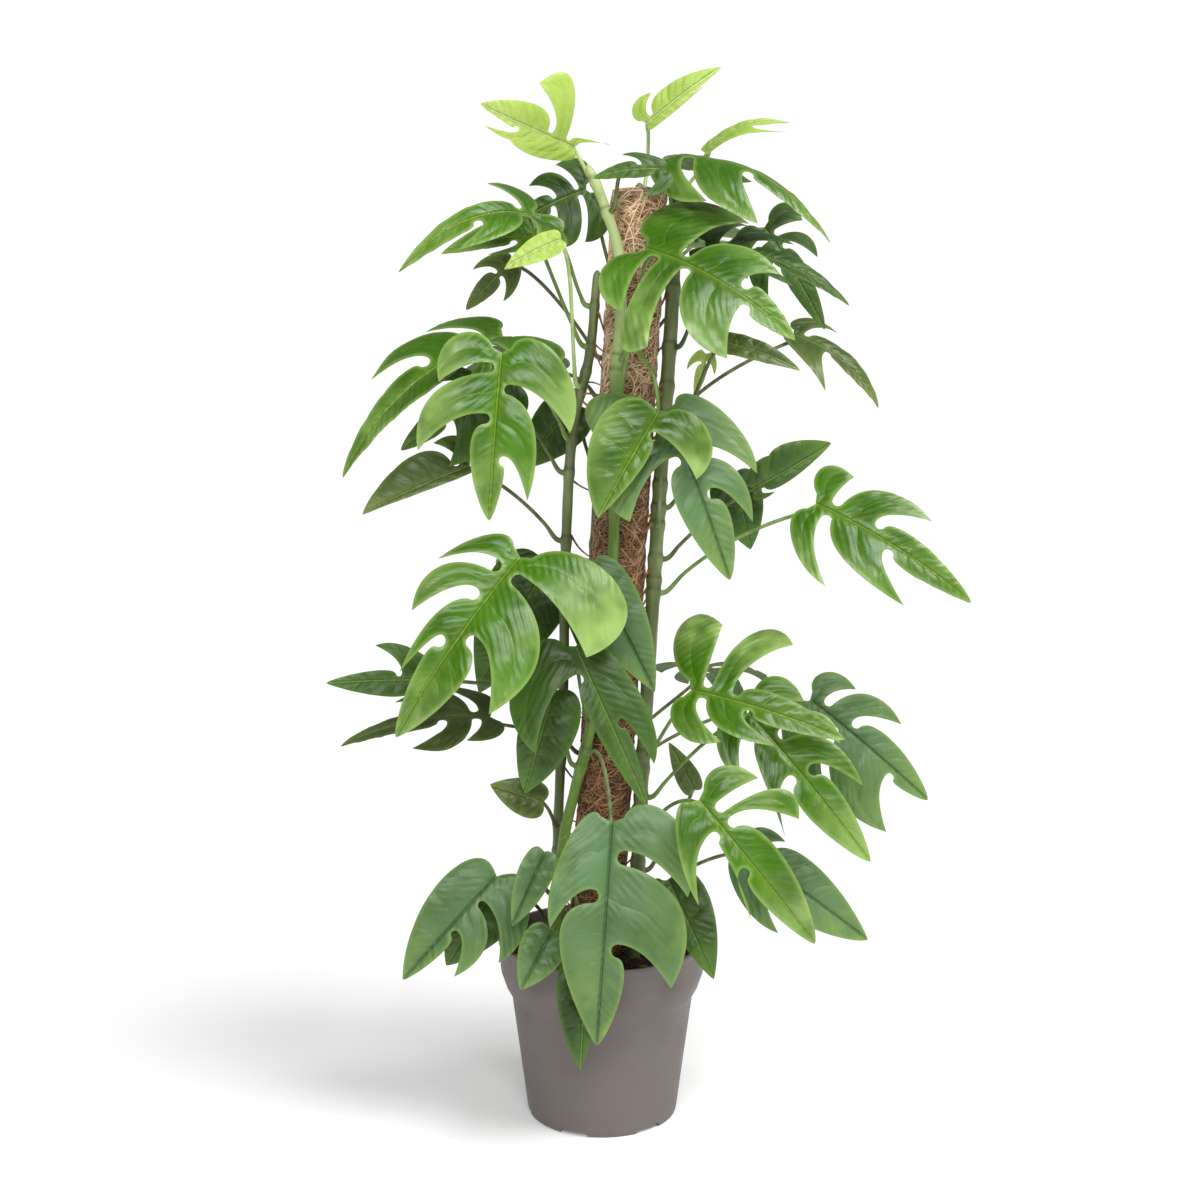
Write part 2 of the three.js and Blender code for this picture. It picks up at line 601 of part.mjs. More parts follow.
const LEAVES = [
  // Round the top of the pole
  { stem: "front", at: 838, base: [-23, -5, 868], tip: [-103, -30, 901], face: [0, -1, -0.2],
    finish: LIME, sweep: 0.28,
    left: [[65, 16, 26], [89, 16], [93, 4]], right: [[-28, 14], [58, 41, 55], [76, 25]] },
  { stem: "left", at: 700, base: [-57, -20, 811], tip: [-171, -60, 761], face: [0.1, -0.9, 0.8],
    finish: BRIGHT, arch: 0.21, left: [[22, 36], [66, 20], [86, 10]], right: [[20, 28], [62, 9]] },
  { stem: "back", at: 740, base: [-14, 48, 838], tip: [-83, 52, 806], face: [0, -1, 0.3], finish: DEEP,
    left: [[25, 58], [66, 46], [88, 16]], right: [[20, 44], [60, 32], [84, 14]] },
  { stem: "left", at: 665, base: [-34, -64, 788], tip: [-82, -70, 763], face: [0, -1, 0.3], finish: LIME,
    ...PLAIN },
  { stem: "back_left", at: 690, base: [-81, 62, 775], tip: [-124, 64, 732], face: [0, -1, 0.3],
    finish: OLIVE, left: [[50, 34], [80, 16]], right: [[50, 34], [80, 16]] },
  { stem: "back", at: 832, via: [[40, 46, 858], [40, 22, 884]], base: [38, 4, 889], tip: [102, 0, 936],
    face: [0, -1, 0.2], finish: LIME, left: [[23, 23, 28], [66, 20]], right: [[72, 6, 8], [86, 4]] },
  { stem: "back", at: 800, base: [90, 46, 870], tip: [165, 36, 895], face: [0, -0.8, 1], finish: LIME,
    arch: 0.14, sweep: 0.3, left: [[50, 9]], right: [[92, 24, 14], [96, 5]] },
  { stem: "right", at: 815, base: [60, -8, 862], tip: [194, -40, 786], face: [0, -0.3, 1],
    finish: BRIGHT, arch: 0.14, fold: -8, curl: 2.2,
    left: [[10, 30], [40, 28], [80, 10]], right: [[30, 34], [66, 30], [86, 9]] },
  { stem: "front", at: 812, via: [[18, -44, 846]], base: [52, -56, 846], tip: [-8, -58, 838],
    face: [0, -1, 0.6], finish: DEEP, left: [[34, 40], [78, 16]], right: [[56, 26], [80, 14]] },
  { stem: "front", at: 690, base: [35, -60, 781], tip: [157, -110, 705], face: [0.1, -1, 0.7],
    finish: BRIGHT, arch: 0.1, sweep: 0.1,
    left: [[34, 52], [72, 24], [86, 9]], right: [[15, 44, 34], [41, 57, 52], [80, 36, 32], [92, 8]] },
  { stem: "right", at: 700, base: [88, -20, 785], tip: [209, -50, 734], face: [0, -0.6, 1], finish: DEEP,
    arch: 0.1, left: [[15, 38], [50, 24], [84, 9]], right: [[39, 32], [66, 20], [86, 9]] },
  { stem: "back", at: 700, base: [143, 30, 804], tip: [197, 20, 714], face: [0, -1, 0.2], finish: DEEP,
    left: [[12, 30], [45, 24], [80, 12]], right: [[25, 34], [55, 30], [82, 10]] },
  { stem: "right", at: 640, base: [169, 20, 711], tip: [244, 0, 646], face: [0, -0.5, 1], finish: OLIVE,
    arch: 0.12, left: [[25, 36], [75, 14]], right: [[58, 44, 32], [84, 10]] },
  { stem: "right", at: 612, base: [98, -50, 704], tip: [167, -62, 680], face: [0, -1, 0.6],
    finish: OLIVE, left: [[45, 14]], right: [[45, 14]] },
  { stem: "right", at: 625, base: [90, -14, 694], tip: [80, -18, 656], face: [0, -1, 0.3], finish: LIME,
    left: [[42, 30], [80, 13]], right: [[46, 32], [80, 13]] },

  // Upper left
  { stem: "left", at: 660, base: [-85, -30, 709], tip: [-220, -70, 590], face: [0, -0.6, 1],
    finish: BRIGHT, arch: 0.14,
    left: [[8, 34], [38, 24], [70, 13]], right: [[25, 24], [59, 21], [84, 8]] },
  { stem: "left", at: 620, base: [-83, -88, 695], tip: [-94, -98, 556], face: [0, -1, 0.15],
    finish: BRIGHT, left: [[44, 45], [86, 22], [93, 6]], right: [[20, 36], [62, 46, 36], [84, 15]] },
  { stem: "left", at: 590, base: [-89, -6, 671], tip: [-176, -18, 610], face: [0, -1, 0.3], finish: DEEP,
    left: [[20, 36], [76, 36], [90, 10]], right: [[16, 34], [48, 28], [80, 14]] },
  { stem: "left", at: 530, base: [-115, -20, 597], tip: [-209, -30, 555], face: [0, -1, 0.3],
    finish: OLIVE, left: [[40, 6]], right: [[20, 30], [61, 30]] },
  { stem: "back_left", at: 600, base: [-24, 33, 648], tip: [-72, 34, 590], face: [0, -1, 0.3],
    finish: DEEP, left: [[42, 34]], right: [[42, 30]] },

  // Middle front
  { stem: "front", at: 655, via: [[24, -62, 698], [42, -88, 676]], base: [46, -90, 645],
    tip: [-4, -96, 558], face: [0, -1, 0.3], finish: BRIGHT, sweep: 0.12,
    left: [[30, 57], [62, 13]], right: [[56, 38]] },
  { stem: "right", at: 545, base: [55, -58, 646], tip: [108, -80, 504], face: [0, -1, 0.3], finish: GREY,
    left: [[50, 34], [74, 22], [88, 12]], right: [[0, 42], [51, 42], [80, 16]] },
  { stem: "right", at: 515, base: [132, -10, 575], tip: [201, -10, 616], face: [0, -1, 0], finish: DEEP,
    sweep: 0.12, left: [[34, 24], [70, 32]], right: [[20, 14], [60, 12]] },
  { stem: "right", at: 485, base: [185, -30, 565], tip: [317, -60, 482], face: [0, -1, 0.6],
    finish: BRIGHT, left: [[10, 24], [58, 24], [82, 10]], right: [[29, 41, 30], [70, 26, 22], [86, 9]] },
  { stem: "left", at: 470, base: [-69, -85, 525], tip: [-174, -110, 375], face: [-0.1, -1, 0.4],
    finish: BRIGHT, left: [[19, 53, 62], [66, 32], [82, 15]],
    right: [[22, 30, 20], [48, 25], [74, 14], [88, 8]] },
  { stem: "front", at: 420, base: [-11, -46, 512], tip: [46, -52, 402], face: [0, -1, 0.3], finish: GREY,
    left: [[48, 20]], right: [[14, 30], [52, 24]] },
  { stem: "front", at: 375, base: [-23, -74, 447], tip: [39, -95, 310], face: [0, -1, 0.3], finish: DEEP,
    sweep: 0.28, left: [[78, 13, 27], [88, 6]], right: [[46, 46, 52], [78, 10]] },
  { stem: "front", at: 330, base: [-36, -42, 402], tip: [-64, -50, 311], face: [0, -1, 0.3],
    finish: DEEP, left: [[50, 30]], right: [[55, 26]] },
  { stem: "left", at: 270, base: [-52, -30, 298], tip: [-100, -32, 315], face: [0, -1, 0.3],
    finish: OLIVE, left: [[45, 34]], right: [[45, 32]] },
  { stem: "left", at: 370, base: [-153, -20, 407], tip: [-243, -35, 407], face: [0, -1, 0.3],
    finish: DEEP, left: [[25, 30], [60, 18]], right: [[52, 35], [80, 10]] },
  { stem: "back_left", at: 330, base: [-102, 20, 366], tip: [-237, 0, 343], face: [0, -0.5, 1],
    finish: OLIVE, left: [[19, 26], [54, 28], [84, 12]], right: [[30, 30], [60, 24], [86, 8]] },

  // Lower right
  { stem: "right", at: 340, base: [76, -60, 406], tip: [206, -95, 370], face: [0.1, -1, 0.5],
    finish: BRIGHT, left: [[3, 50, 58], [51, 49], [82, 12]], right: [[30, 28, 34], [62, 20], [84, 9]] },
  { stem: "right", at: 300, base: [128, -40, 382], tip: [234, -70, 255], face: [0, -1, 0.3],
    finish: BRIGHT, left: [[14, 26], [42, 26], [66, 21], [84, 10]],
    right: [[25, 26], [63, 28, 14], [84, 12]] },
  { stem: "back", at: 300, base: [187, 0, 385], tip: [293, -15, 296], face: [0, -1, 0.3], finish: GREY,
    left: [[18, 24], [54, 25], [82, 14]], right: [[46, 42], [92, 34], [96, 6]] },
  { stem: "right", at: 262, base: [81, -115, 323], tip: [180, -125, 200], face: [0, -1, 0.3],
    finish: BRIGHT, left: [[11, 32, 22], [41, 35], [80, 17]],
    right: [[42, 36, 26], [66, 19, 8], [84, 9]] },
  { stem: "right", at: 205, base: [127, -40, 257], tip: [235, -60, 181], face: [0, -1, 0.3],
    finish: GREY, left: [[18, 20], [58, 22]], right: [[48, 32], [78, 20]] },
  { stem: "right", at: 232, base: [84, 2, 300], tip: [60, 0, 346], face: [0, -1, 0.3], finish: OLIVE,
    ...PLAIN },
  { stem: "right", at: 180, base: [58, -56, 235], tip: [97, -90, 156], face: [0, -1, 0.3], finish: DEEP,
    left: [[44, 27]], right: [[38, 32], [74, 16]] },

  // Lower front and left
  { stem: "front", at: 345, base: [8, -98, 299], tip: [-5, -122, 108], face: [0, -1, 0.3], finish: GREY,
    sweep: 0.15, left: [[30, 36], [70, 31], [88, 10]], right: [[47, 24], [62, 22]] },
  { stem: "left", at: 205, base: [-94, -38, 233], tip: [-177, -60, 144], face: [0, -1, 0.3],
    finish: GREY, left: [[44, 44], [72, 26], [88, 8]], right: [[52, 26]] },
  { stem: "front", at: 235, base: [-50, -66, 263], tip: [-79, -72, 197], face: [0, -1, 0.3],
    finish: GREY, ...PLAIN },
  { stem: "front", at: 200, base: [-43, -90, 200], tip: [-71, -106, 152], face: [0, -1, 0.3],
    finish: GREY, left: [[42, 34]], right: [[42, 34]] },
  { stem: "front", at: 222, base: [-14, -94, 182], tip: [-19, -110, 81], face: [0, -1, 0.2],
    finish: DEEP, left: [[46, 12]], right: [[46, 22]] },
  { stem: "left", at: 735, base: [-35, 14, 796], tip: [-141, 8, 780], face: [0, -1, 0.6], finish: BRIGHT,
    left: [[62, 14], [84, 8]], right: [[40, 20]] },
  { stem: "back_left", at: 430, base: [-50, 24, 504], tip: [-112, 12, 388], face: [0, -1, 0.3],
    finish: DEEP, left: [[40, 26]], right: [[40, 30]] },
  { stem: "right", at: 560, base: [117, 26, 586], tip: [134, 22, 518], face: [0, -1, 0.3], finish: DEEP,
    left: [[45, 30]], right: [[45, 34]] },
  { stem: "left", at: 180, base: [-93, -14, 221], tip: [-141, -30, 146], face: [0, -1, 0.3],
    finish: DEEP, left: [[45, 34]], right: [[45, 30]] },

  // Behind the pole
  { stem: "back", at: 740, base: [85, 80, 800], tip: [115, 190, 725], face: [0.2, 1, 1], finish: BRIGHT,
    ...MEDIUM },
  { stem: "back_left", at: 655, base: [-70, 70, 690], tip: [-130, 160, 620], face: [-0.4, 1, 1],
    finish: DEEP, ...MEDIUM },
  { stem: "back_left", at: 440, base: [-50, 90, 500], tip: [-85, 195, 425], face: [-0.2, 1, 1],
    finish: BRIGHT, ...MEDIUM },
  { stem: "back", at: 320, base: [95, 85, 400], tip: [145, 185, 325], face: [0.3, 1, 1], finish: DEEP,
    ...MEDIUM },
];

// ---- The plant ----
const plant = new THREE.Group();
plant.add(meshOf("pot", pot(), TAUPE));
plant.add(meshOf("soil", soil(), EARTH));
plant.add(meshOf("pole_coir", poleSleeve(), COIR));
plant.add(meshOf("pole_core", poleCore(0), TIMBER));
for (const [name, spec] of Object.entries(STEMS)) {
  plant.add(meshOf("stem_" + name, stem(spec), spec.finish));
}
LEAVES.forEach((spec, i) => {
  plant.add(meshOf("leaf_" + String(i + 1).padStart(2, "0"), leaf(spec), spec.finish));
});

export default plant;
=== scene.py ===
"""Looks of a potted mini monstera on a coir pole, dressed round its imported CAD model.

Shapes are worked out in millimetres in the CAD frame, +Z up and -Y the front, and are built in metres.
"""
import math
import random

import bmesh
import bpy
import numpy as np
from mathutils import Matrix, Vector, noise
from mathutils.geometry import delaunay_2d_cdt


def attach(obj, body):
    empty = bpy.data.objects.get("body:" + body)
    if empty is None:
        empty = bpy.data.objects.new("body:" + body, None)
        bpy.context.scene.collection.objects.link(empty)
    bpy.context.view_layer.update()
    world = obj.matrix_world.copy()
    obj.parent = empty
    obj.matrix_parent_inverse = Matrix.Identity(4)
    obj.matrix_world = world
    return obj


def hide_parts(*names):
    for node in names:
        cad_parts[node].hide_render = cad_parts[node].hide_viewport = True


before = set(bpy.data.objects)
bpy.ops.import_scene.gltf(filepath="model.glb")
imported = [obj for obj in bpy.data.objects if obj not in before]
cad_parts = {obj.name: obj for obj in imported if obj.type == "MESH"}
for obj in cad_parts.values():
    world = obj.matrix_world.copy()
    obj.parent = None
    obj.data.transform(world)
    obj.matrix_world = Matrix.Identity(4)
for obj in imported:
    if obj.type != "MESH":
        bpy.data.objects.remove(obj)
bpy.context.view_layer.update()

MM = 0.001
UP = np.array([0.0, 0.0, 1.0])

# ---- Driving dimensions, as in the CAD model ----
POT_HEIGHT = 165
POT_WALL = 1.8
LIP_R = 95
COLLAR_R = 93.4
COLLAR_Z = 138
BODY_TOP_R = 83
BODY_TOP_Z = 112
BODY_FOOT_R = 69.5
FOOT_R = 66.5
FOOT_CHANNEL = 5
CHANNEL_IN_R = 40
CHANNEL_OUT_R = 60
FOOT_NOTCHES = 6
NOTCH_WIDTH = 28
NOTCH_TURN = math.radians(-22)
DRAIN_HOLES = 6
DRAIN_R = 5

SOIL_Z = 150
SOIL_R = 90.5

POLE_R = 24
POLE_FOOT = 60
POLE_TOP = 832
POLE_FOOT_X = -11.2
POLE_TOP_X = 32.4

STEM_FOOT = 70
NODE_SPACING = 90
NODE_SWELL = 1.28

BLADE = 0.8
PETIOLE_R = 1.8
SHEATH_R = 2.7
GAP = 0.35

# ---- Fine form, in the scene alone ----
PLEAT_TURN = 0.8  # radians for each millimetre along the midrib
PLEAT_LEAN = 0.85  # how far a pleat runs ahead for each millimetre to the side
SWELL = 0.9
DIMPLE = 0.25
PLEAT = 0.16
QUILT = 0.8
EDGE_DROP = 1.0
EDGE_THICK = 0.38
RIB_WIDTH = 0.8
RIB_GROOVE = 0.5
RIB_KEEL = 1.3
VEIN_GROOVE = 0.34
VEIN_KEEL = 0.5
RIPPLE = 0.02  # share of the length

STEM_TAPER = 0.82
TAPER_LENGTH = 110
STEM_TIP = 7
SCAR_DEPTH = 0.28


def mix(a, b, t):
    return a + (b - a) * t


def clamp(x, low, high):
    return min(high, max(low, x))


def unit(vector):
    return vector / np.linalg.norm(vector)


def vec(*values):
    return np.array(values, float)


def spoke(turn):
    """The level direction at an angle round the upright axis."""
    return vec(math.cos(turn), math.sin(turn), 0)


def lumps(x, y, z):
    """Smooth noise of about -1 to 1, with lumps about one unit wide."""
    return noise.noise(Vector((x, y, z)))


def places_along(line):
    """How far along a line of points each of them lies."""
    return np.concatenate(([0], np.cumsum(np.linalg.norm(np.diff(line, axis=0), axis=1))))


# ---- Curves ----
def bezier(a, b, c, d):
    a, b, c, d = (np.array(x, float) for x in (a, b, c, d))

    def point(t):
        s = 1 - t
        return s * s * s * a + 3 * s * s * t * b + 3 * s * t * t * c + t * t * t * d

    return point


def spline(points):
    """A centripetal Catmull-Rom curve through points, from 0 to 1."""
    points = [np.array(p, float) for p in points]
    ends = [2 * points[0] - points[1], *points, 2 * points[-1] - points[-2]]

    def point(t):
        place = clamp(t, 0, 1) * (len(points) - 1)
        i = min(int(place), len(points) - 2)
        s = place - i
        a, b, c, d = ends[i:i + 4]
        before, here, after = (max(np.dot(v, v) ** 0.25, 1e-4) for v in (b - a, c - b, d - c))
        start = ((b - a) / before - (c - a) / (before + here) + (c - b) / here) * here
        stop = ((c - b) / here - (d - b) / (here + after) + (d - c) / after) * here
        square = -3 * b + 3 * c - 2 * start - stop
        return b + s * (start + s * (square + s * (2 * b - 2 * c + start + stop)))

    return point


def tangent(curve, t):
    low, high = max(0.0, t - 1e-4), min(1.0, t + 1e-4)
    return unit(curve(high) - curve(low))


# ---- Meshes ----
class Shape:
    """Collects the points, their shades, the faces and the face materials of one mesh, in millimetres."""

    def __init__(self):
        self.points = []
        self.faces = []
        self.slots = []
        self.shades = []

    def point(self, place, shade=0.0):
        self.points.append(place)
        self.shades.append(shade)

    def face(self, corners, slot=0):
        self.faces.append(tuple(corners))
        self.slots.append(slot)

    def ring(self, centre, across, third, radius, sides, shade=0.0):
        """A ring of points; the radius is a number or a function of the angle."""
        first = len(self.points)
        for j in range(sides):
            turn = 2 * math.pi * j / sides
            reach = radius(turn) if callable(radius) else radius
            self.point(centre + across * reach * math.cos(turn) + third * reach * math.sin(turn), shade)
        return first

    def level_ring(self, centre, radius, sides):
        return self.ring(centre, vec(1, 0, 0), vec(0, 1, 0), radius, sides)

    def join(self, one, two, sides, slot=0):
        for j in range(sides):
            k = (j + 1) % sides
            self.face((one + j, one + k, two + k, two + j), slot)

    def loft(self, rings, sides, slot=0):
        """Skins the rings in turn and closes both ends."""
        for one, two in zip(rings, rings[1:]):
            self.join(one, two, sides, slot)
        self.face(reversed(range(rings[0], rings[0] + sides)), slot)
        self.face(range(rings[-1], rings[-1] + sides), slot)

    def tube(self, stations, across, sides, slot=0):
        """A bar through rings, each given by its middle, direction, radius and shade."""
        rings = []
        for centre, along, radius, shade in stations:
            across = unit(across - along * np.dot(across, along))
            rings.append(self.ring(centre, across, np.cross(along, across), radius, sides, shade))
        self.loft(rings, sides, slot)

    def bar(self, curve, steps, sides, radius_at, slot=0):
        """A round bar along a curve; radius_at gives its radius at 0 to 1 of the curve."""
        shares = [i / steps for i in range(steps + 1)]
        stations = [(curve(t), tangent(curve, t), radius_at(t), 0.0) for t in shares]
        self.tube(stations, vec(1, 0.2, 0), sides, slot)

    def piece(self, name, materials, sharp=None):
        mesh = bpy.data.meshes.new(name)
        mesh.from_pydata([tuple(p * MM for p in point) for point in self.points], [], self.faces)
        for material in materials:
            mesh.materials.append(material)
        mesh.polygons.foreach_set("material_index", self.slots)
        mesh.polygons.foreach_set("use_smooth", [True] * len(self.faces))
        if any(self.shades):
            shade = mesh.attributes.new("shade", "FLOAT", "POINT")
            shade.data.foreach_set("value", self.shades)
        if sharp is not None:
            mesh.set_sharp_from_angle(angle=math.radians(sharp))
        mesh.update()
        return put(name, mesh)


def put(name, data, spot=(0, 0, 0), turn=(0, 0, 0)):
    """Puts a mesh, a light or a camera in the scene."""
    thing = bpy.data.objects.new(name, data)
    thing.location = spot
    thing.rotation_euler = turn
    bpy.context.scene.collection.objects.link(thing)
    return thing


def dress(piece, slot, *nodes):
    """The piece rides on the one body of this part, and stands for the CAD nodes named."""
    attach(piece, "root")
    if nodes:
        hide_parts(*nodes)


# ---- Materials ----
def colour(code):
    """A hexadecimal sRGB colour as linear red, green, blue and alpha."""
    parts = [int(code[i:i + 2], 16) / 255 for i in (0, 2, 4)]
    return tuple(((c + 0.055) / 1.055) ** 2.4 if c > 0.04045 else c / 12.92 for c in parts) + (1.0,)


def add_node(tree, kind, inputs, output=0, **settings):
    """Adds a shader node, its inputs set to values or linked to other nodes' outputs; returns its output."""
    made = tree.nodes.new(kind)
    for key, value in settings.items():
        setattr(made, key, value)
    for key, value in inputs.items():
        if isinstance(value, bpy.types.NodeSocket):
            tree.links.new(value, made.inputs[key])
        else:
            made.inputs[key].default_value = value
    return made.outputs[output]


class Finish:
    """A material of one Principled shader; each method adds a node and returns its output."""

    def __init__(self, name, **settings):
        self.material = bpy.data.materials.new(name)
        self.material.use_nodes = True
        self.tree = self.material.node_tree
        self.shader = self.tree.nodes["Principled BSDF"]
        for key, value in settings.items():
            self.shader.inputs[key.replace("_", " ")].default_value = value

    def node(self, *values, **settings):
        return add_node(self.tree, *values, **settings)

    def where(self):
        return self.node("ShaderNodeTexCoord", {}, "Object")

    def noise(self, scale, detail=3.0, rough=0.55, stretch=None):
        vector = self.where()
        if stretch:
            vector = self.node("ShaderNodeMapping", {"Vector": vector, "Scale": stretch})
        inputs = {"Vector": vector, "Scale": scale, "Detail": detail, "Roughness": rough}
        return self.node("ShaderNodeTexNoise", inputs)

    def math(self, operation, *values):
        return self.node("ShaderNodeMath", dict(enumerate(values)), operation=operation)

    def plus(self, a, b):
        return self.math("ADD", a, b)

    def times(self, a, b):
        return self.math("MULTIPLY", a, b)

    def height(self):
        return self.node("ShaderNodeSeparateXYZ", {0: self.where()}, 2)

    def range(self, value, low, high, out_low=0.0, out_high=1.0):
        inputs = {0: value, 1: low, 2: high, 3: out_low, 4: out_high}
        return self.node("ShaderNodeMapRange", inputs, interpolation_type="SMOOTHSTEP")

    def attribute(self, name):
        """The three numbers of a vector attribute."""
        source = self.node("ShaderNodeAttribute", {}, "Vector", attribute_name=name)
        split = self.node("ShaderNodeSeparateXYZ", {0: source}).node
        return tuple(split.outputs)

    def single(self, name):
        return self.node("ShaderNodeAttribute", {}, "Fac", attribute_name=name)

    def blend(self, factor, a, b):
        """A mix of two colours, each a hexadecimal code or another node's output."""
        a, b = (colour(tone) if isinstance(tone, str) else tone for tone in (a, b))
        return self.node("ShaderNodeMix", {0: factor, 6: a, 7: b}, 2, data_type="RGBA")

    def painted_light_upwards(self, start, a, b):
        """A mix of two colours that turns into the second, lighter one up the pole, from a height in metres:
        painted light on the top of the pole.
        """
        return self.blend(self.range(self.height(), start, 0.8), a, b)

    def bump(self, height, distance):
        return self.node("ShaderNodeBump", {"Height": height, "Distance": distance})

    def use(self, **sockets):
        for key, value in sockets.items():
            self.tree.links.new(value, self.shader.inputs[key.replace("_", " ")])
        return self.material


def leaf_finish(name, deep, fresh, end, vein, under, gloss):
    """Glossy skin, paler towards the ends of the lobes and along the rim, partly in a fresher green and
    partly as a painted sheen, with sunk veins and a duller underside.
    """
    roughness, coat, specular = gloss
    f = Finish(name, Roughness=roughness, Coat_Weight=coat, Coat_Roughness=0.2, IOR=1.45,
               Specular_IOR_Level=specular)
    along, across, off_rib = f.attribute("vein")
    rim, below, far = f.attribute("trim")
    off_rib = f.math("ABSOLUTE", off_rib)
    rib = f.range(off_rib, 0.3, 1.6, 1, 0)
    branch = f.range(f.math("ABSOLUTE", across), 0.1, 1.2, 1, 0)
    lean = f.plus(f.times(off_rib, PLEAT_LEAN), f.times(f.noise(40, 1), 9))
    wave = f.math("SINE", f.times(f.math("SUBTRACT", along, lean), PLEAT_TURN))
    patches = f.range(f.noise(17, 4), 0.34, 0.68, 0.12, 0.88)
    streaks = f.range(f.noise(130, 3), 0.3, 0.75)
    skin = f.blend(patches, deep, fresh)
    skin = f.blend(f.times(streaks, 0.3), skin, fresh)
    # Towards the tip and the lobe ends the skin turns to the lobe-end colour: partly fresher green, partly a
    # painted sheen of light.
    skin = f.blend(f.times(far, f.range(f.noise(24, 2), 0.36, 0.64, 0.15, 0.95)), skin, end)
    glow = f.times(f.range(off_rib, 0, 9, 0.3, 0), f.range(wave, -1, 1, 0.7, 1))
    veins = f.math("MAXIMUM", f.times(rib, 0.7), f.times(branch, 0.16))
    veins = f.math("MAXIMUM", veins, glow)
    veins = f.math("MAXIMUM", veins, f.range(wave, 0.5, 1, 0, 0.06))
    skin = f.blend(veins, skin, vein)
    skin = f.blend(f.times(below, 0.75), skin, under)
    # A paler band along the rim in the lobe-end colour: partly the rim's own colour, partly a painted sheen.
    skin = f.blend(f.range(rim, 0.2, 4.5, 0.4, 0), skin, end)
    groove = f.plus(f.times(rib, -1), f.times(branch, -0.2))
    quilt = f.times(wave, f.range(f.noise(32, 2), 0.4, 0.64, -0.3, -0.03))
    cells = f.times(f.noise(900, 2), 0.08)
    swell = f.times(f.noise(45, 2), 1.3)
    relief = f.plus(f.plus(groove, quilt), f.plus(cells, swell))
    rough = f.plus(f.range(f.noise(70, 3), 0.3, 0.7, roughness - 0.05, roughness + 0.09),
                   f.times(below, 0.22))
    return f.use(Base_Color=skin, Roughness=rough, Normal=f.bump(relief, 0.00075))


def grained_finish(name, dark, light, grain, relief, depth, **settings):
    """Two tones mixed by one noise, over the relief of another, each given as Finish.noise takes it."""
    f = Finish(name, **settings)
    skin = f.blend(f.range(f.noise(*grain), 0.35, 0.65), dark, light)
    return f.use(Base_Color=skin, Normal=f.bump(f.noise(*relief), depth))


def stalk_finish(name, green, pale):
    return grained_finish(name, green, pale, (120, 3, 0.55, (1, 1, 0.25)), (600, 2), 0.0002,
                          Roughness=0.45, IOR=1.45)


def crumb_finish(name, dark, light):
    return grained_finish(name, dark, light, (240, 4), (900, 3), 0.0006, Roughness=0.9, IOR=1.4)


def stem_finish(name, green, pale, scar, cork, young, young_z):
    """Stem bark, paler where it is young, with darker leaf scars where "shade" is high and freckles."""
    f = Finish(name, Roughness=0.4, IOR=1.45)
    long_noise = f.noise(90, 4, stretch=(1, 1, 0.16))
    skin = f.blend(f.range(long_noise, 0.35, 0.65), green, pale)
    skin = f.blend(f.range(f.height(), young_z - 0.08, young_z, 0, 0.85), skin, young)
    skin = f.blend(f.range(f.noise(260, 2), 0.66, 0.74, 0, 0.5), skin, cork)
    skin = f.blend(f.times(f.single("shade"), 0.75), skin, scar)
    relief = f.plus(f.noise(240, 3, stretch=(1, 1, 0.12)), f.noise(900, 2))
    return f.use(Base_Color=skin, Normal=f.bump(relief, 0.0005))


def coir_finish():
    """Coconut fibre: each fibre has its own tone in "shade", and painted light makes the fibres lighter
    towards the top of the pole.
    """
    f = Finish("coir", Roughness=0.85, IOR=1.4, Sheen_Weight=0.15)
    tone = f.plus(f.single("shade"), f.range(f.noise(300, 2), 0.3, 0.7, -0.15, 0.15))
    # Painted light: both tones grow lighter up the pole.
    dark, light = f.painted_light_upwards(0.45, "5a3822", "c89e70"), f.painted_light_upwards(0.45, "b88a5e", "ffe6c2")
    skin = f.blend(f.range(tone, 0, 1), dark, light)
    return f.use(Base_Color=skin, Normal=f.bump(f.noise(1400, 2), 0.0003))


def mat_finish():
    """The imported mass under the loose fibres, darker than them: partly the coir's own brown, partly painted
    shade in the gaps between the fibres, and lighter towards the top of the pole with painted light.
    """
    f = Finish("coir_mat", Roughness=0.95, IOR=1.4)
    strands = f.noise(420, 5, stretch=(1, 1, 0.6))
    # Painted shade in the gaps between the fibres, and painted light growing up the pole.
    dark, light = f.painted_light_upwards(0.55, "3a2214", "64442a"), f.painted_light_upwards(0.45, "80583a", "b08660")
    skin = f.blend(f.range(strands, 0.38, 0.66), dark, light)
    return f.use(Base_Color=skin, Normal=f.bump(strands, 0.002))


def soil_finish():
    f = Finish("soil", Roughness=0.95, IOR=1.4)
    grains = f.noise(320, 6, 0.7)
    skin = f.blend(f.range(grains, 0.35, 0.7), "170f0a", "4a3626")
    skin = f.blend(f.range(f.noise(700, 2), 0.66, 0.72), skin, "86684a")
    return f.use(Base_Color=skin, Normal=f.bump(grains, 0.0025))


def pot_finish():
    """Injection moulded plastic with a faint satin grain and slightly cloudy tone."""
    f = Finish("pot_plastic", Roughness=0.5, IOR=1.46)
    cloud = f.range(f.noise(7, 3), 0.35, 0.65)
    skin = f.blend(cloud, "625956", "69605c")
    flow = f.noise(30, 2, stretch=(1, 1, 0.15))
    grain = f.plus(f.times(f.noise(2600, 2), 0.25), flow)
    rough = f.range(f.noise(24, 3), 0.3, 0.7, 0.42, 0.56)
    return f.use(Base_Color=skin, Roughness=rough, Normal=f.bump(grain, 0.00012))


def floor_finish():
    f = Finish("studio_floor", Roughness=0.9, Emission_Strength=0.14)
    tone = f.range(f.noise(3, 2), 0.3, 0.7)
    return f.use(Base_Color=f.blend(tone, "f9f9f9", "fbfbfb"))


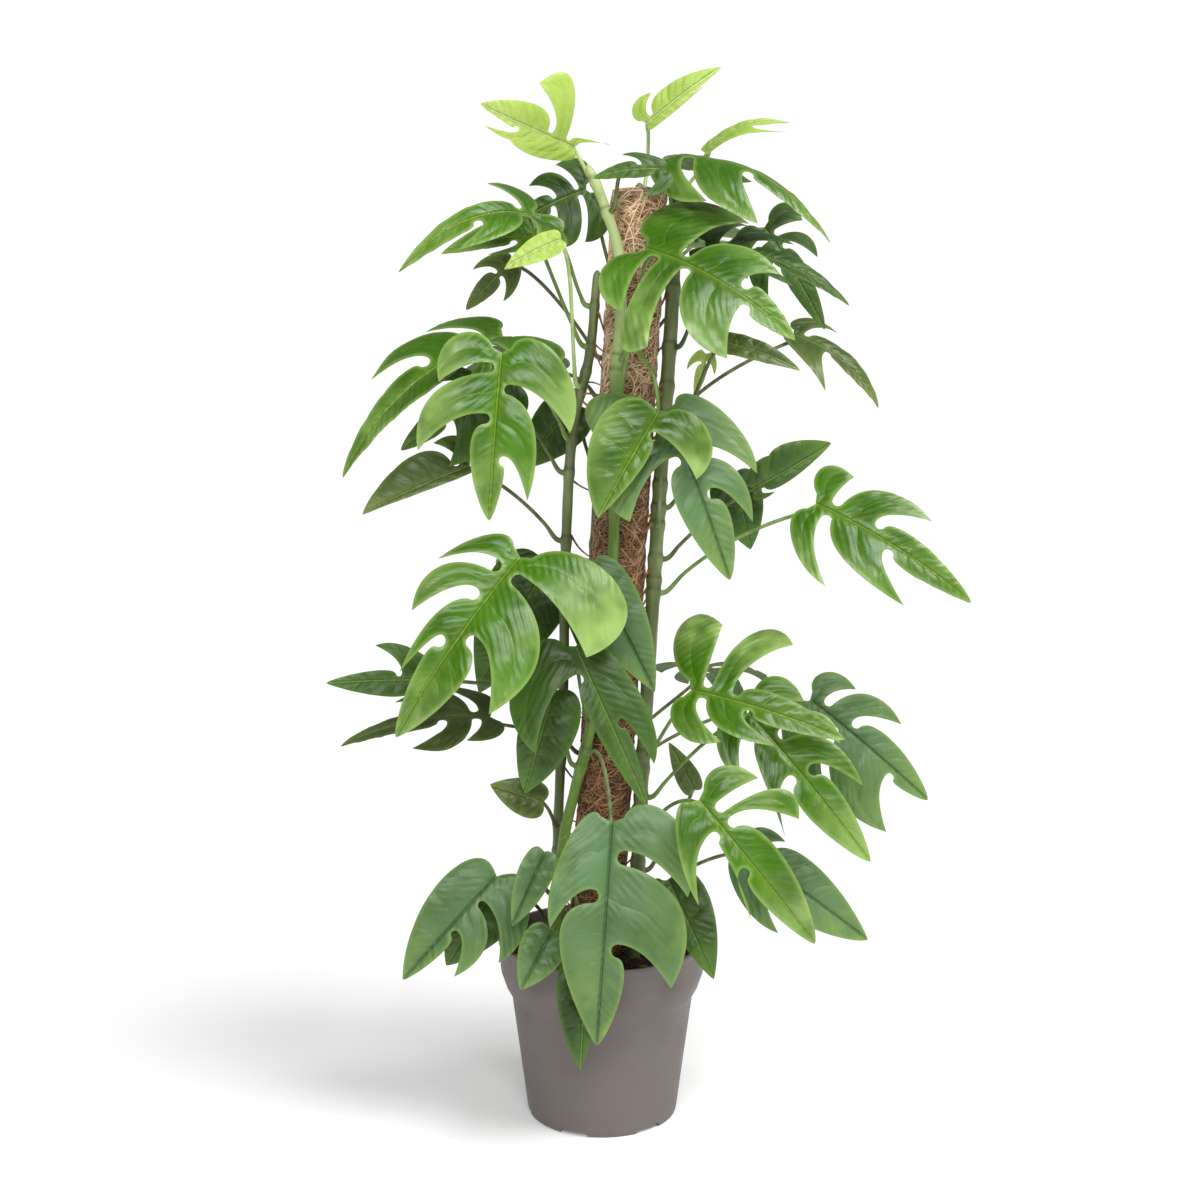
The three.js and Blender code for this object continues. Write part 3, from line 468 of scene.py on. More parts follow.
LEAF_TONES = {
    # deep, fresh, lobe end (fresher green with a painted sheen), vein, underside, (roughness, coat, specular)
    # The bright leaves' lobe-end colour is whitened most by its painted sheen.
    "bright": ("2a5002", "447402", "98b664", "7a9c36", "5f7a38", (0.31, 0.22, 0.3)),
    "deep": ("1e3808", "355415", "557a2a", "6e8c46", "546f3a", (0.42, 0.08, 0.35)),
    # The grey leaves' greyish green is partly their own darker blue-green and partly a painted reflection of
    # the bright surroundings.
    "grey": ("42602c", "5a7c4e", "7c9c4c", "406038", "728d60", (0.42, 0.1, 0.38)),
    "olive": ("334310", "4b6128", "768a44", "7c9050", "6e7c50", (0.4, 0.12, 0.35)),
    "lime": ("86a838", "a2c050", "b6ce6a", "c4d688", "a6bc72", (0.38, 0.1, 0.3)),
}
STALK_TONES = {
    "bright": ("5d7a34", "7d984e"),
    "deep": ("46582a", "66743f"),
    "grey": ("5c6e40", "7f8c60"),
    "olive": ("545c32", "747850"),
    "lime": ("9cb868", "b8cc88"),
}
LEAF_SKINS = {key: leaf_finish(f"leaf_{key}", *tones) for key, tones in LEAF_TONES.items()}
STALKS = {key: stalk_finish(f"stalk_{key}", *tones) for key, tones in STALK_TONES.items()}
OLD_BARK = stem_finish("bark_old", "58663a", "7c8858", "464c2e", "8c8866", "7c8858", 0.8)
YOUNG_BARK = stem_finish("bark_young", "5a7a2a", "75953e", "4a6226", "9cab64", "b8c888", 0.72)
COIR = coir_finish()


# ---- Pot ----
def turned(pairs, sides):
    """A closed body turned from (radius, height) pairs, up the outside and down the inside."""
    shape = Shape()
    rings = []
    for radius, z in pairs:
        if radius == 0:
            rings.append(len(shape.points))
            shape.point(vec(0, 0, z))
        else:
            rings.append(shape.level_ring(vec(0, 0, z), radius, sides))
    for (one, two), (low, high) in zip(zip(rings, rings[1:]), zip(pairs, pairs[1:])):
        if low[0] and high[0]:
            shape.join(one, two, sides)
            continue
        for j in range(sides):
            k = (j + 1) % sides
            shape.face((one, two + k, two + j) if low[0] == 0 else (one + j, one + k, two))
    return shape


def arc(centre_r, centre_z, radius, start, stop, steps):
    """Points on a round corner of a profile, between two angles in degrees."""
    turns = [math.radians(mix(start, stop, i / steps)) for i in range(steps + 1)]
    return [(centre_r + radius * math.cos(t), centre_z + radius * math.sin(t)) for t in turns]


def pot_profile():
    lip = arc(LIP_R - 1.1, POT_HEIGHT - 1.1, 1.1, 0, 90, 4)
    return [
        (0, 0), (CHANNEL_IN_R - 2.4, 0), (CHANNEL_IN_R - 1.9, 0.3), (CHANNEL_IN_R, FOOT_CHANNEL),
        (CHANNEL_OUT_R, FOOT_CHANNEL), (CHANNEL_OUT_R + 0.9, 0.3), (CHANNEL_OUT_R + 1.3, 0),
        (FOOT_R - 0.6, 0), *arc(FOOT_R - 0.2, 2.2, 2.2, -80, -20, 3), (BODY_FOOT_R - 0.4, 5),
        *[(mix(BODY_FOOT_R, BODY_TOP_R, t), mix(8, BODY_TOP_Z, t)) for t in (0, 0.33, 0.66)],
        (BODY_TOP_R - 0.15, BODY_TOP_Z - 1.5),
        (BODY_TOP_R + 0.6, BODY_TOP_Z + 0.8), (mix(BODY_TOP_R, COLLAR_R, 0.5), 121),
        (COLLAR_R - 2.2, COLLAR_Z - 8), (COLLAR_R - 0.9, COLLAR_Z - 4.5), (COLLAR_R - 0.2, COLLAR_Z - 0.5),
        (COLLAR_R, COLLAR_Z + 1), (COLLAR_R + 0.4, POT_HEIGHT - 6.4), (COLLAR_R + 0.7, POT_HEIGHT - 5.4),
        (LIP_R - 0.3, POT_HEIGHT - 4.7), (LIP_R, POT_HEIGHT - 4.1), *lip,
        *arc(LIP_R - 2.0, POT_HEIGHT - 1.0, 1.0, 90, 180, 3), (COLLAR_R - POT_WALL, POT_HEIGHT - 4),
        (COLLAR_R - POT_WALL - 0.2, COLLAR_Z), (BODY_TOP_R - POT_WALL, BODY_TOP_Z),
        (BODY_FOOT_R - POT_WALL, FOOT_CHANNEL + 2), (CHANNEL_IN_R - 1.5, FOOT_CHANNEL + 2),
        (CHANNEL_IN_R - 3.5, 2), (0, 2),
    ]


def cutters():
    """The foot notches and drain holes, as one body to cut from the pot."""
    shape = Shape()
    half = NOTCH_WIDTH / 2
    for i in range(FOOT_NOTCHES):
        turn = 2 * math.pi * i / FOOT_NOTCHES + NOTCH_TURN
        side, out = spoke(turn), spoke(turn - math.pi / 2)
        rings = []
        for reach in (FOOT_R - 10, FOOT_R + 10):
            rings.append(len(shape.points))
            for x, z in ((-half, -0.9), (half, -0.9), (half - 2.4, 4.6), (-half + 2.4, 4.6)):
                shape.point(side * x + out * reach + UP * z)
        shape.loft(rings, 4)
    middle = (CHANNEL_IN_R + CHANNEL_OUT_R) / 2
    for i in range(DRAIN_HOLES):
        turn = 2 * math.pi * (i + 0.5) / DRAIN_HOLES
        foot = middle * spoke(turn)
        shape.loft([shape.level_ring(foot + UP * z, DRAIN_R, 24) for z in (0, 20)], 24)
    return shape


def make_pot():
    pot = turned(pot_profile(), 144).piece("nursery_pot", [pot_finish()])
    tool = cutters().piece("pot_cutters", [])
    cut = pot.modifiers.new("cut", "BOOLEAN")
    cut.operation = "DIFFERENCE"
    cut.solver = "EXACT"
    cut.object = tool
    bpy.context.view_layer.update()
    done = bpy.data.meshes.new_from_object(pot.evaluated_get(bpy.context.evaluated_depsgraph_get()))
    pot.modifiers.clear()
    pot.data = done
    done.polygons.foreach_set("use_smooth", [True] * len(done.polygons))
    done.set_sharp_from_angle(angle=math.radians(38))
    bpy.data.objects.remove(tool)
    dress(pot, "pot_plastic", "pot")


# ---- Soil ----
def soil_height(x, y):
    """The lumpy top of the soil, in millimetres."""
    far = math.hypot(x, y) / SOIL_R
    coarse = lumps(x / 26, y / 26, 0.3)
    small = lumps(x / 8, y / 8, 4.1)
    grain = lumps(x / 2.6, y / 2.6, 9.7)
    return SOIL_Z + 1.2 - 2.2 * far * far + 2.0 * coarse + 1.3 * small + 0.6 * grain


def make_soil():
    sides = 120
    shape = Shape()
    rings = []
    for radius, z in ((CHANNEL_IN_R - 4.2, 2.4), (CHANNEL_IN_R - 2.2, 7.4), (BODY_FOOT_R - POT_WALL - 1, 7.4),
                      (BODY_TOP_R - POT_WALL - 1, BODY_TOP_Z - 1), (SOIL_R - 1.2, COLLAR_Z)):
        rings.append(shape.level_ring(vec(0, 0, z), radius, sides))
    rows = 36
    for i in range(rows):
        rings.append(shape.level_ring(vec(0, 0, 0), SOIL_R * (1 - i / rows), sides))
        for point in shape.points[-sides:]:
            point[2] = soil_height(point[0], point[1])
    shape.loft(rings, sides)
    dress(shape.piece("soil_bed", [soil_finish()]), "potting_soil", "soil")


def crumbs(name, material, seed, count, sizes, lengthen=1.0):
    """Small lumps half sunk in the soil, at seeded places."""
    draw = random.Random(seed)
    shape = Shape()
    model = bmesh.new()
    bmesh.ops.create_icosphere(model, subdivisions=1, radius=1)
    base = [np.array(v.co) for v in model.verts]
    faces = [tuple(v.index for v in face.verts) for face in model.faces]
    model.free()
    for _ in range(count):
        far, turn = (SOIL_R - 4) * math.sqrt(draw.random()), draw.uniform(0, 2 * math.pi)
        x, y = far * math.cos(turn), far * math.sin(turn)
        size = draw.uniform(*sizes)
        yaw, pitch = draw.uniform(0, 2 * math.pi), draw.uniform(-0.5, 0.5)
        ahead = vec(math.cos(yaw) * math.cos(pitch), math.sin(yaw) * math.cos(pitch), math.sin(pitch))
        aside = unit(np.cross(UP, ahead))
        above = np.cross(ahead, aside)
        centre = vec(x, y, soil_height(x, y) + size * 0.25)
        first = len(shape.points)
        for corner in base:
            x, y, z = corner * draw.uniform(0.75, 1.2)
            shape.point(centre + size * (ahead * x * lengthen + aside * y + above * z * 0.7))
        for face in faces:
            shape.face(first + i for i in face)
    dress(shape.piece(name, [material]), "potting_soil")


# ---- Coir pole ----
def pole_at(z):
    return vec(mix(POLE_FOOT_X, POLE_TOP_X, (z - POLE_FOOT) / (POLE_TOP - POLE_FOOT)), 0, z)


def coir_surface(z, turn):
    """How far the packed fibre stands from the pole's middle, in millimetres."""
    lump = lumps(2.2 * math.cos(turn), 2.2 * math.sin(turn), z / 14)
    tuft = lumps(5.5 * math.cos(turn), 5.5 * math.sin(turn), z / 5)
    return POLE_R - 0.9 + 0.9 * lump + 0.5 * tuft


def make_pole():
    shape = Shape()
    sides = 64
    rows = 220
    top = POLE_TOP - 1.5
    rings = []
    for i in range(rows + 1):
        z = mix(POLE_FOOT, top, i / rows)
        rings.append(shape.level_ring(pole_at(z), lambda turn: coir_surface(z, turn), sides))
    for share, rise in ((0.9, 1.0), (0.6, 1.6), (0.25, 1.8)):
        rings.append(shape.level_ring(pole_at(top) + UP * rise, POLE_R * share, sides))
    shape.loft(rings, sides)
    dress(shape.piece("coir_mat", [mat_finish()]), "coir_fibre", "pole_coir")
    make_fibres("coir_fibres_lower", seed=5, count=2600, low=140, high=500)
    make_fibres("coir_fibres_upper", seed=6, count=2700, low=480)
    make_fibres("coir_strands", seed=9, count=900, low=150, thick=(0.6, 1.1), tone=0.85)
    make_top_fibres()


def make_fibres(name, seed, count, low, high=POLE_TOP, thick=(0.28, 0.62), tone=0.5):
    """Loose fibres that wander over the pole's side."""
    draw = random.Random(seed)
    shape = Shape()
    for _ in range(count):
        z, turn = draw.uniform(low, high), draw.uniform(0, 2 * math.pi)
        length = draw.uniform(12, 42)
        slope = draw.gauss(0.35, 0.75)
        bend = draw.uniform(-1.4, 1.4)
        stand = abs(draw.gauss(0, 0.55)) + 0.15
        radius = draw.uniform(*thick)
        shade = clamp(draw.gauss(tone, 0.3), 0.02, 1)
        places = []
        for k in range(6):
            s = k / 5 - 0.5
            angle = slope + bend * s
            turn_k = turn + length * s * math.cos(angle) / POLE_R
            z_k = clamp(z + length * s * math.sin(angle), low - 10, POLE_TOP - 1)
            out = coir_surface(z_k, turn_k) + stand * (1 - 4 * s * s) + 0.1
            places.append(pole_at(z_k) + out * spoke(turn_k))
        fibre(shape, places, radius, shade)
    dress(shape.piece(name, [COIR]), "coir_fibre")


def fibre(shape, places, thick, shade):
    """A three-sided strand through places, fine at both ends."""
    last = len(places) - 1
    stations = []
    for k, place in enumerate(places):
        along = unit(places[min(k + 1, last)] - places[max(k - 1, 0)])
        stations.append((place, along, thick * (0.45 if k in (0, last) else 1), shade))
    shape.tube(stations, vec(0.3, 0.2, 1), 3)


def make_top_fibres():
    """Fibres folded over the closed top of the pole."""
    draw = random.Random(8)
    shape = Shape()
    centre = pole_at(POLE_TOP)
    for _ in range(420):
        turn, far = draw.uniform(0, 2 * math.pi), POLE_R * math.sqrt(draw.random()) * 0.9
        heading, length = draw.uniform(0, 2 * math.pi), draw.uniform(10, 30)
        bend, lift = draw.uniform(-1.2, 1.2), draw.uniform(0.1, 1.6)
        places = []
        for k in range(6):
            s = k / 5 - 0.5
            angle = heading + bend * s
            flat = far * spoke(turn) + length * s * spoke(angle)
            reach = np.linalg.norm(flat)
            over = max(0.0, reach - POLE_R + 1)
            if over:
                flat *= (POLE_R - 0.5) / reach
            places.append(centre + flat + UP * (lift * (1 - 4 * s * s) + 0.4 - over))
        fibre(shape, places, draw.uniform(0.22, 0.45), clamp(draw.gauss(0.6, 0.25), 0.02, 1))
    dress(shape.piece("coir_fibres_top", [COIR]), "coir_fibre")


# ---- Stems ----
# Each climbs the pole through places given as (height, angle round the pole, distance off its surface).
# Angle 0 is to the right and -90 to the front.
STEMS = {
    "right": (6.2, [(70, -35, 16), (150, -30, 16), (300, -22, 11), (450, -17, 10), (592, -15, 10),
                    (720, -8, 10), (836, 8, 9)]),
    "front": (5, [(70, -140, 20), (150, -148, 19), (261, -150, 16), (307, -143, 10), (362, -122, 8),
                  (500, -100, 8), (675, -108, 14), (740, -107, 14), (780, -115, 14), (827, -144, 18),
                  (852, -156, 27)]),
    "left": (4.6, [(70, 172, 14), (150, 172, 14), (260, 172, 17), (400, 176, 19), (512, 180, 23),
                   (636, 180, 22), (690, 178, 12), (765, 174, 9)]),
    "back": (5.5, [(70, 78, 12), (150, 80, 10), (300, 95, 9), (550, 85, 9), (700, 88, 9), (842, 90, 8)]),
    "back_left": (5, [(70, 128, 12), (150, 128, 11), (300, 124, 9), (500, 130, 9), (705, 128, 9)]),
}


def beside(z, angle, off):
    return pole_at(z) + (POLE_R + off) * spoke(math.radians(angle))


def part_at(curve, z):
    """Where on a stem's curve, from 0 to 1, it reaches a height."""
    low, high = 0.0, 1.0
    for _ in range(30):
        middle = (low + high) / 2
        if curve(middle)[2] < z:
            low = middle
        else:
            high = middle
    return low


STEM_CURVES = {name: spline([beside(*place) for place in places]) for name, (_, places) in STEMS.items()}


def stem_nodes(name):
    """Heights of the swollen nodes of a stem: the evenly spaced ones and those that carry a leaf."""
    top = STEMS[name][1][-1][0]
    count = round((top - STEM_FOOT) / NODE_SPACING)
    even = [mix(STEM_FOOT, top, i / count) for i in range(2, count)]
    return even + [spec["at"] for spec in LEAVES if spec["stem"] == name]


def make_stem(name, bark, slot):
    radius, places = STEMS[name]
    curve = STEM_CURVES[name]
    top = places[-1][0]
    nodes = stem_nodes(name)
    shape = Shape()
    steps = round((top - STEM_FOOT) / 2.6)
    stations = []
    for i in range(steps + 1):
        z = mix(STEM_FOOT, top, i / steps)
        part = part_at(curve, z)
        swell = max([math.exp(-(((z - node) / (7 if z < node else 4)) ** 2)) for node in nodes])
        scar = max([math.exp(-(((z - node - 3) / 1.4) ** 2)) for node in nodes])
        thin = mix(1, STEM_TAPER, clamp((z - top + TAPER_LENGTH) / TAPER_LENGTH, 0, 1))
        thin *= math.sqrt(1 - 0.9 * clamp((z - top + STEM_TIP) / STEM_TIP, 0, 1) ** 2)
        size = radius * thin * (0.97 + 0.7 * (NODE_SWELL - 1) * swell) - SCAR_DEPTH * scar

        def ridge(turn, z=z, size=size):
            wobble = lumps(math.cos(turn), math.sin(turn), z / 22)
            rib = math.cos(5 * turn + z / 60)
            return size * (1 + 0.05 * wobble + 0.018 * rib)

        shade = clamp(scar + 0.25 * max(0.0, lumps(z / 9, radius, 0.5)), 0, 1)
        stations.append((curve(part), tangent(curve, part), ridge, shade))
    shape.tube(stations, vec(1, 0, 0), 18)
    dress(shape.piece(f"bark_{name}", [bark]), slot, f"stem_{name}")


def make_roots():
    """Short brown aerial roots from the nodes into the coir."""
    draw = random.Random(12)
    shape = Shape()
    for name, (radius, _) in STEMS.items():
        for node in stem_nodes(name):
            if node < SOIL_Z + 25:
                continue
            for _ in range(draw.choice((0, 1, 1, 2, 3))):
                part = part_at(STEM_CURVES[name], node - draw.uniform(-5, 9))
                centre = STEM_CURVES[name](part)
                inward = unit((pole_at(centre[2]) - centre) * vec(1, 1, 0))
                swing = draw.uniform(-1.6, 1.6)
                aside = vec(-inward[1], inward[0], 0)
                out = unit(inward + aside * swing)
                start = centre + out * radius * 0.7
                middle = start + out * draw.uniform(2, 9) - UP * draw.uniform(-5, 18) + aside * swing * 5
                off_pole = unit((middle - pole_at(middle[2])) * vec(1, 1, 0))
                sunk = pole_at(middle[2] - 6) + off_pole * (POLE_R - 2)
                route = bezier(start, start + out * 3, middle, sunk)
                shape.bar(route, steps=7, sides=6, radius_at=lambda t: mix(1.15, 0.6, t))
    dress(shape.piece("aerial_roots", [crumb_finish("root_skin", "6a4a2c", "a58358")]), "coir_fibre")


# ---- Leaves ----
# A blade is drawn flat first, in shares of its length: p runs from the petiole (0) to the tip (1), q to the
# side. A side of a spec lists such places in hundredths. The last is the broadest place of the tip part, and
# the others are the tips of lobes, with a third number where the belly of a lobe isn't as wide as its tip.
WEB = 0.065
CUT = 0.03
STEP_MM = 2.6
MEDIUM = [[12, 36], [46, 28], [80, 12]], [[14, 34], [50, 30], [80, 11]]
PLAIN = [[45, 20]], [[45, 20]]

# How a leaf is usually held: which way it faces, the arch of its midrib as a share of its length, the angle
# in degrees at which its sides rise, how fast they curl down, and how far its lobes sweep forward.
USUAL = dict(face=[0, -1, 0.3], arch=0.08, fold=12, curl=1.3, sweep=0.22)


def leaf(stem, at, base, tip, finish, left, right, **form):
    """One leaf: its stem and the height of its node there, the ends of its midrib, its skin and its sides."""
    return dict(USUAL, stem=stem, at=at, base=base, tip=tip, finish=finish, left=left, right=right, **form)


LEAVES = [
    # Round the top of the pole
    leaf("front", 838, [-23, -5, 868], [-103, -30, 901], "lime", [[65, 16, 26], [89, 16], [93, 4]],
         [[-28, 14], [58, 41, 55], [76, 25]], face=[0, -1, -0.2], sweep=0.28),
    leaf("left", 700, [-57, -20, 811], [-171, -60, 761], "bright", [[22, 36], [66, 20], [86, 10]],
         [[20, 28], [62, 9]], face=[0.1, -0.9, 0.8], arch=0.21),
    leaf("back", 740, [-14, 48, 838], [-83, 52, 806], "deep", [[25, 58], [66, 46], [88, 16]],
         [[20, 44], [60, 32], [84, 14]]),
    leaf("left", 665, [-34, -64, 788], [-82, -70, 763], "lime", *PLAIN),
    leaf("back_left", 690, [-81, 62, 775], [-124, 64, 732], "olive", [[50, 34], [80, 16]],
         [[50, 34], [80, 16]]),
    leaf("back", 832, [38, 4, 889], [102, 0, 936], "lime", [[23, 23, 28], [66, 20]], [[72, 6, 8], [86, 4]],
         via=[[40, 46, 858], [40, 22, 884]], face=[0, -1, 0.2]),
    leaf("back", 800, [90, 46, 870], [165, 36, 895], "lime", [[50, 9]], [[92, 24, 14], [96, 5]],
         face=[0, -0.8, 1], arch=0.14, sweep=0.3),
    leaf("right", 815, [60, -8, 862], [194, -40, 786], "bright", [[10, 30], [40, 28], [80, 10]],
         [[30, 34], [66, 30], [86, 9]], face=[0, -0.3, 1], arch=0.14, fold=-8, curl=2.2),
    leaf("front", 812, [52, -56, 846], [-8, -58, 838], "deep", [[34, 40], [78, 16]], [[56, 26], [80, 14]],
         via=[[18, -44, 846]], face=[0, -1, 0.6]),
    leaf("front", 690, [35, -60, 781], [157, -110, 705], "bright", [[34, 52], [72, 24], [86, 9]],
         [[15, 44, 34], [41, 57, 52], [80, 36, 32], [92, 8]], face=[0.1, -1, 0.7], arch=0.1, sweep=0.1),
    leaf("right", 700, [88, -20, 785], [209, -50, 734], "deep", [[15, 38], [50, 24], [84, 9]],
         [[39, 32], [66, 20], [86, 9]], face=[0, -0.6, 1], arch=0.1),
    leaf("back", 700, [143, 30, 804], [197, 20, 714], "deep", [[12, 30], [45, 24], [80, 12]],
         [[25, 34], [55, 30], [82, 10]], face=[0, -1, 0.2]),
    leaf("right", 640, [169, 20, 711], [244, 0, 646], "olive", [[25, 36], [75, 14]],
         [[58, 44, 32], [84, 10]], face=[0, -0.5, 1], arch=0.12),
    leaf("right", 612, [98, -50, 704], [167, -62, 680], "olive", [[45, 14]], [[45, 14]], face=[0, -1, 0.6]),
    leaf("right", 625, [90, -14, 694], [80, -18, 656], "lime", [[42, 30], [80, 13]], [[46, 32], [80, 13]]),
    # Upper left
    leaf("left", 660, [-85, -30, 709], [-220, -70, 590], "bright", [[8, 34], [38, 24], [70, 13]],
         [[25, 24], [59, 21], [84, 8]], face=[0, -0.6, 1], arch=0.14),
    leaf("left", 620, [-83, -88, 695], [-94, -98, 556], "bright", [[44, 45], [86, 22], [93, 6]],
         [[20, 36], [62, 46, 36], [84, 15]], face=[0, -1, 0.15]),
    leaf("left", 590, [-89, -6, 671], [-176, -18, 610], "deep", [[20, 36], [76, 36], [90, 10]],
         [[16, 34], [48, 28], [80, 14]]),
    leaf("left", 530, [-115, -20, 597], [-209, -30, 555], "olive", [[40, 6]], [[20, 30], [61, 30]]),
    leaf("back_left", 600, [-24, 33, 648], [-72, 34, 590], "deep", [[42, 34]], [[42, 30]]),
    # Middle front
    leaf("front", 655, [46, -90, 645], [-4, -96, 558], "bright", [[30, 57], [62, 13]], [[56, 38]],
         via=[[24, -62, 698], [42, -88, 676]], sweep=0.12),
    leaf("right", 545, [55, -58, 646], [108, -80, 504], "grey", [[50, 34], [74, 22], [88, 12]],
         [[0, 42], [51, 42], [80, 16]]),
    leaf("right", 515, [132, -10, 575], [201, -10, 616], "deep", [[34, 24], [70, 32]], [[20, 14], [60, 12]],
         face=[0, -1, 0], sweep=0.12),
    leaf("right", 485, [185, -30, 565], [317, -60, 482], "bright", [[10, 24], [58, 24], [82, 10]],
         [[29, 41, 30], [70, 26, 22], [86, 9]], face=[0, -1, 0.6]),
    leaf("left", 470, [-69, -85, 525], [-174, -110, 375], "bright", [[19, 53, 62], [66, 32], [82, 15]],
         [[22, 30, 20], [48, 25], [74, 14], [88, 8]], face=[-0.1, -1, 0.4]),
    leaf("front", 420, [-11, -46, 512], [46, -52, 402], "grey", [[48, 20]], [[14, 30], [52, 24]]),
    leaf("front", 375, [-23, -74, 447], [39, -95, 310], "deep", [[78, 13, 27], [88, 6]],
         [[46, 46, 52], [78, 10]], sweep=0.28),
    leaf("front", 330, [-42, -42, 402], [-68, -50, 311], "deep", [[50, 30]], [[60, 21]]),
    leaf("left", 270, [-52, -30, 298], [-100, -32, 315], "olive", [[45, 34]], [[45, 32]]),
    leaf("left", 370, [-153, -20, 407], [-243, -35, 407], "deep", [[25, 30], [60, 18]],
         [[52, 35], [80, 10]]),
    leaf("back_left", 330, [-102, 20, 366], [-237, 0, 343], "olive", [[19, 26], [54, 28], [84, 12]],
         [[30, 30], [60, 24], [86, 8]], face=[0, -0.5, 1]),
    # Lower right
    leaf("right", 340, [76, -60, 406], [206, -95, 370], "bright", [[3, 50, 58], [51, 49], [82, 12]],
         [[30, 28, 34], [62, 20], [84, 9]], face=[0.1, -1, 0.5]),
    leaf("right", 300, [128, -40, 382], [234, -70, 255], "bright", [[14, 26], [42, 26], [66, 21], [84, 10]],
         [[25, 26], [63, 28, 14], [84, 12]]),
    leaf("back", 300, [187, 0, 385], [293, -15, 296], "grey", [[18, 24], [54, 25], [82, 14]],
         [[46, 42], [92, 34], [96, 6]]),
    leaf("right", 262, [81, -115, 323], [180, -125, 200], "bright", [[11, 32, 22], [41, 35], [80, 17]],
         [[42, 36, 26], [66, 19, 8], [84, 9]]),
    leaf("right", 205, [127, -40, 257], [235, -60, 181], "grey", [[18, 20], [58, 22]], [[48, 32], [78, 20]]),
    leaf("right", 232, [84, 2, 300], [60, 0, 346], "olive", *PLAIN),
    leaf("right", 180, [58, -56, 235], [97, -90, 156], "deep", [[44, 27]], [[38, 32], [74, 16]]),
    # Lower front and left
    leaf("front", 345, [8, -98, 299], [-5, -122, 108], "grey", [[30, 36], [70, 31], [88, 10]],
         [[47, 24], [62, 22]], sweep=0.15),
    leaf("left", 205, [-94, -38, 233], [-177, -60, 144], "grey", [[44, 44], [72, 26], [88, 8]], [[52, 26]]),
    leaf("front", 235, [-50, -66, 263], [-79, -72, 197], "grey", *PLAIN),
    leaf("front", 200, [-43, -90, 200], [-71, -106, 152], "grey", [[42, 34]], [[42, 34]]),
    leaf("front", 222, [-14, -94, 182], [-19, -110, 81], "deep", [[46, 12]], [[46, 22]], face=[0, -1, 0.2]),
    # Between the others
    leaf("left", 735, [-35, 14, 796], [-141, 8, 780], "bright", [[62, 14], [84, 8]], [[40, 20]],
         face=[0, -1, 0.6]),
    leaf("back_left", 430, [-50, 24, 504], [-112, 12, 388], "deep", [[40, 26]], [[40, 30]]),
    leaf("right", 560, [117, 26, 586], [134, 22, 518], "deep", [[45, 30]], [[45, 34]]),
    leaf("left", 180, [-93, -14, 221], [-141, -30, 146], "deep", [[45, 34]], [[45, 30]]),
    # Behind the pole
    leaf("back", 740, [85, 80, 800], [115, 190, 725], "bright", *MEDIUM, face=[0.2, 1, 1]),
    leaf("back_left", 655, [-70, 70, 690], [-130, 160, 620], "deep", *MEDIUM, face=[-0.4, 1, 1]),
    leaf("back_left", 440, [-50, 90, 500], [-85, 195, 425], "bright", *MEDIUM, face=[-0.2, 1, 1]),
    leaf("back", 320, [95, 85, 400], [145, 185, 325], "deep", *MEDIUM, face=[0.3, 1, 1]),
]


def side_parts(places, sweep):
    """The parts of one side: where each starts along the midrib, and its rear and front margins."""
    parts = []
    start_p = 0
    for i, place in enumerate(places):
        p, q = place[0] / 100, place[1] / 100
        belly = place[2] / 100 if len(place) > 2 else q
        basal, last = i == 0, i == len(places) - 1
        start = (-0.02, WEB * 0.8) if basal else (start_p + CUT, WEB)
        if last:
            spread = clamp(q / 0.5, 0.3, 1)
            if basal:
                rear = bezier(start, (-0.16 * spread - 0.04, q * 1.25), (p, q * 1.5), (1, 0))
            else:
                rear = bezier(start, (mix(start_p, p, 0.15), q * 1.5), (mix(p, 1, 0.45), q * 0.6), (1, 0))
            parts.append((start_p, rear, None))
            break
        stop_p = max(start_p + 0.1, p - sweep)
        stop = vec(stop_p - CUT, WEB)
        spread = clamp(belly / 0.5, 0.4, 1)
        if basal:
            rear = bezier(start, (-0.25 * spread, 0.12), (p - 0.42 * spread, belly * 1.3), (p, q))
        else:
            rear = bezier(start, (mix(start[0], p, 0.08), belly * 1.05),
                          (mix(start[0], p, 0.5), mix(WEB, belly, 1.55)), (p, q))
        elbow = vec(stop_p - 0.03, mix(WEB, q, 0.5))
        front = bezier(stop, mix(stop, elbow, 0.67), mix(vec(p, q), elbow, 0.67), (p, q))
        parts.append((start_p, rear, front))
        start_p = stop_p
    return parts


def evenly(line, step, least, whole):
    """Evenly spaced points along a flat line, about a step apart; whole rounds their number."""
    reach = places_along(line)
    spots = np.linspace(0, reach[-1], max(least, whole(reach[-1] / step)) + 1)
    return np.stack([np.interp(spots, reach, line[:, k]) for k in (0, 1)], axis=1)


def walk(curve, step):
    return evenly(np.array([curve(t) for t in np.linspace(0, 1, 60)]), step, 3, math.ceil)


def side_lines(places, sweep, length):
    """One side of a flat blade in millimetres: its margin, and the lateral veins of its parts."""
    margin, veins = [], []
    step = STEP_MM / length
    for i, (from_p, rear, front) in enumerate(side_parts(places, sweep)):
        if i:
            turns = np.linspace(0, math.pi, 8)[1:-1]
            margin.extend((from_p - CUT * math.cos(t), WEB - CUT * math.sin(t)) for t in turns)
        margin.extend(walk(rear, step))
        if front:
            margin.extend(walk(front, step)[::-1][1:])
            middle = [mix(rear(t), front(t), 0.5) for t in np.linspace(0, 1, 14)]
            veins.append([(max(0.01, middle[0][0] - 0.035), 0), *middle])
            continue
        for t in (0.3, 0.48, 0.66):
            root = vec(mix(from_p, 1, t) - 0.05, 0)
            edge = mix(vec(mix(from_p, 1, t), 0), rear(t + 0.1), 0.94)
            bow = mix(root, edge, 0.5) + vec(-0.018, 0.006)
            veins.append([tuple(bezier(root, bow, bow, edge)(s)) for s in np.linspace(0, 1, 8)])
    return np.array(margin) * length, [np.array(vein) * length for vein in veins]


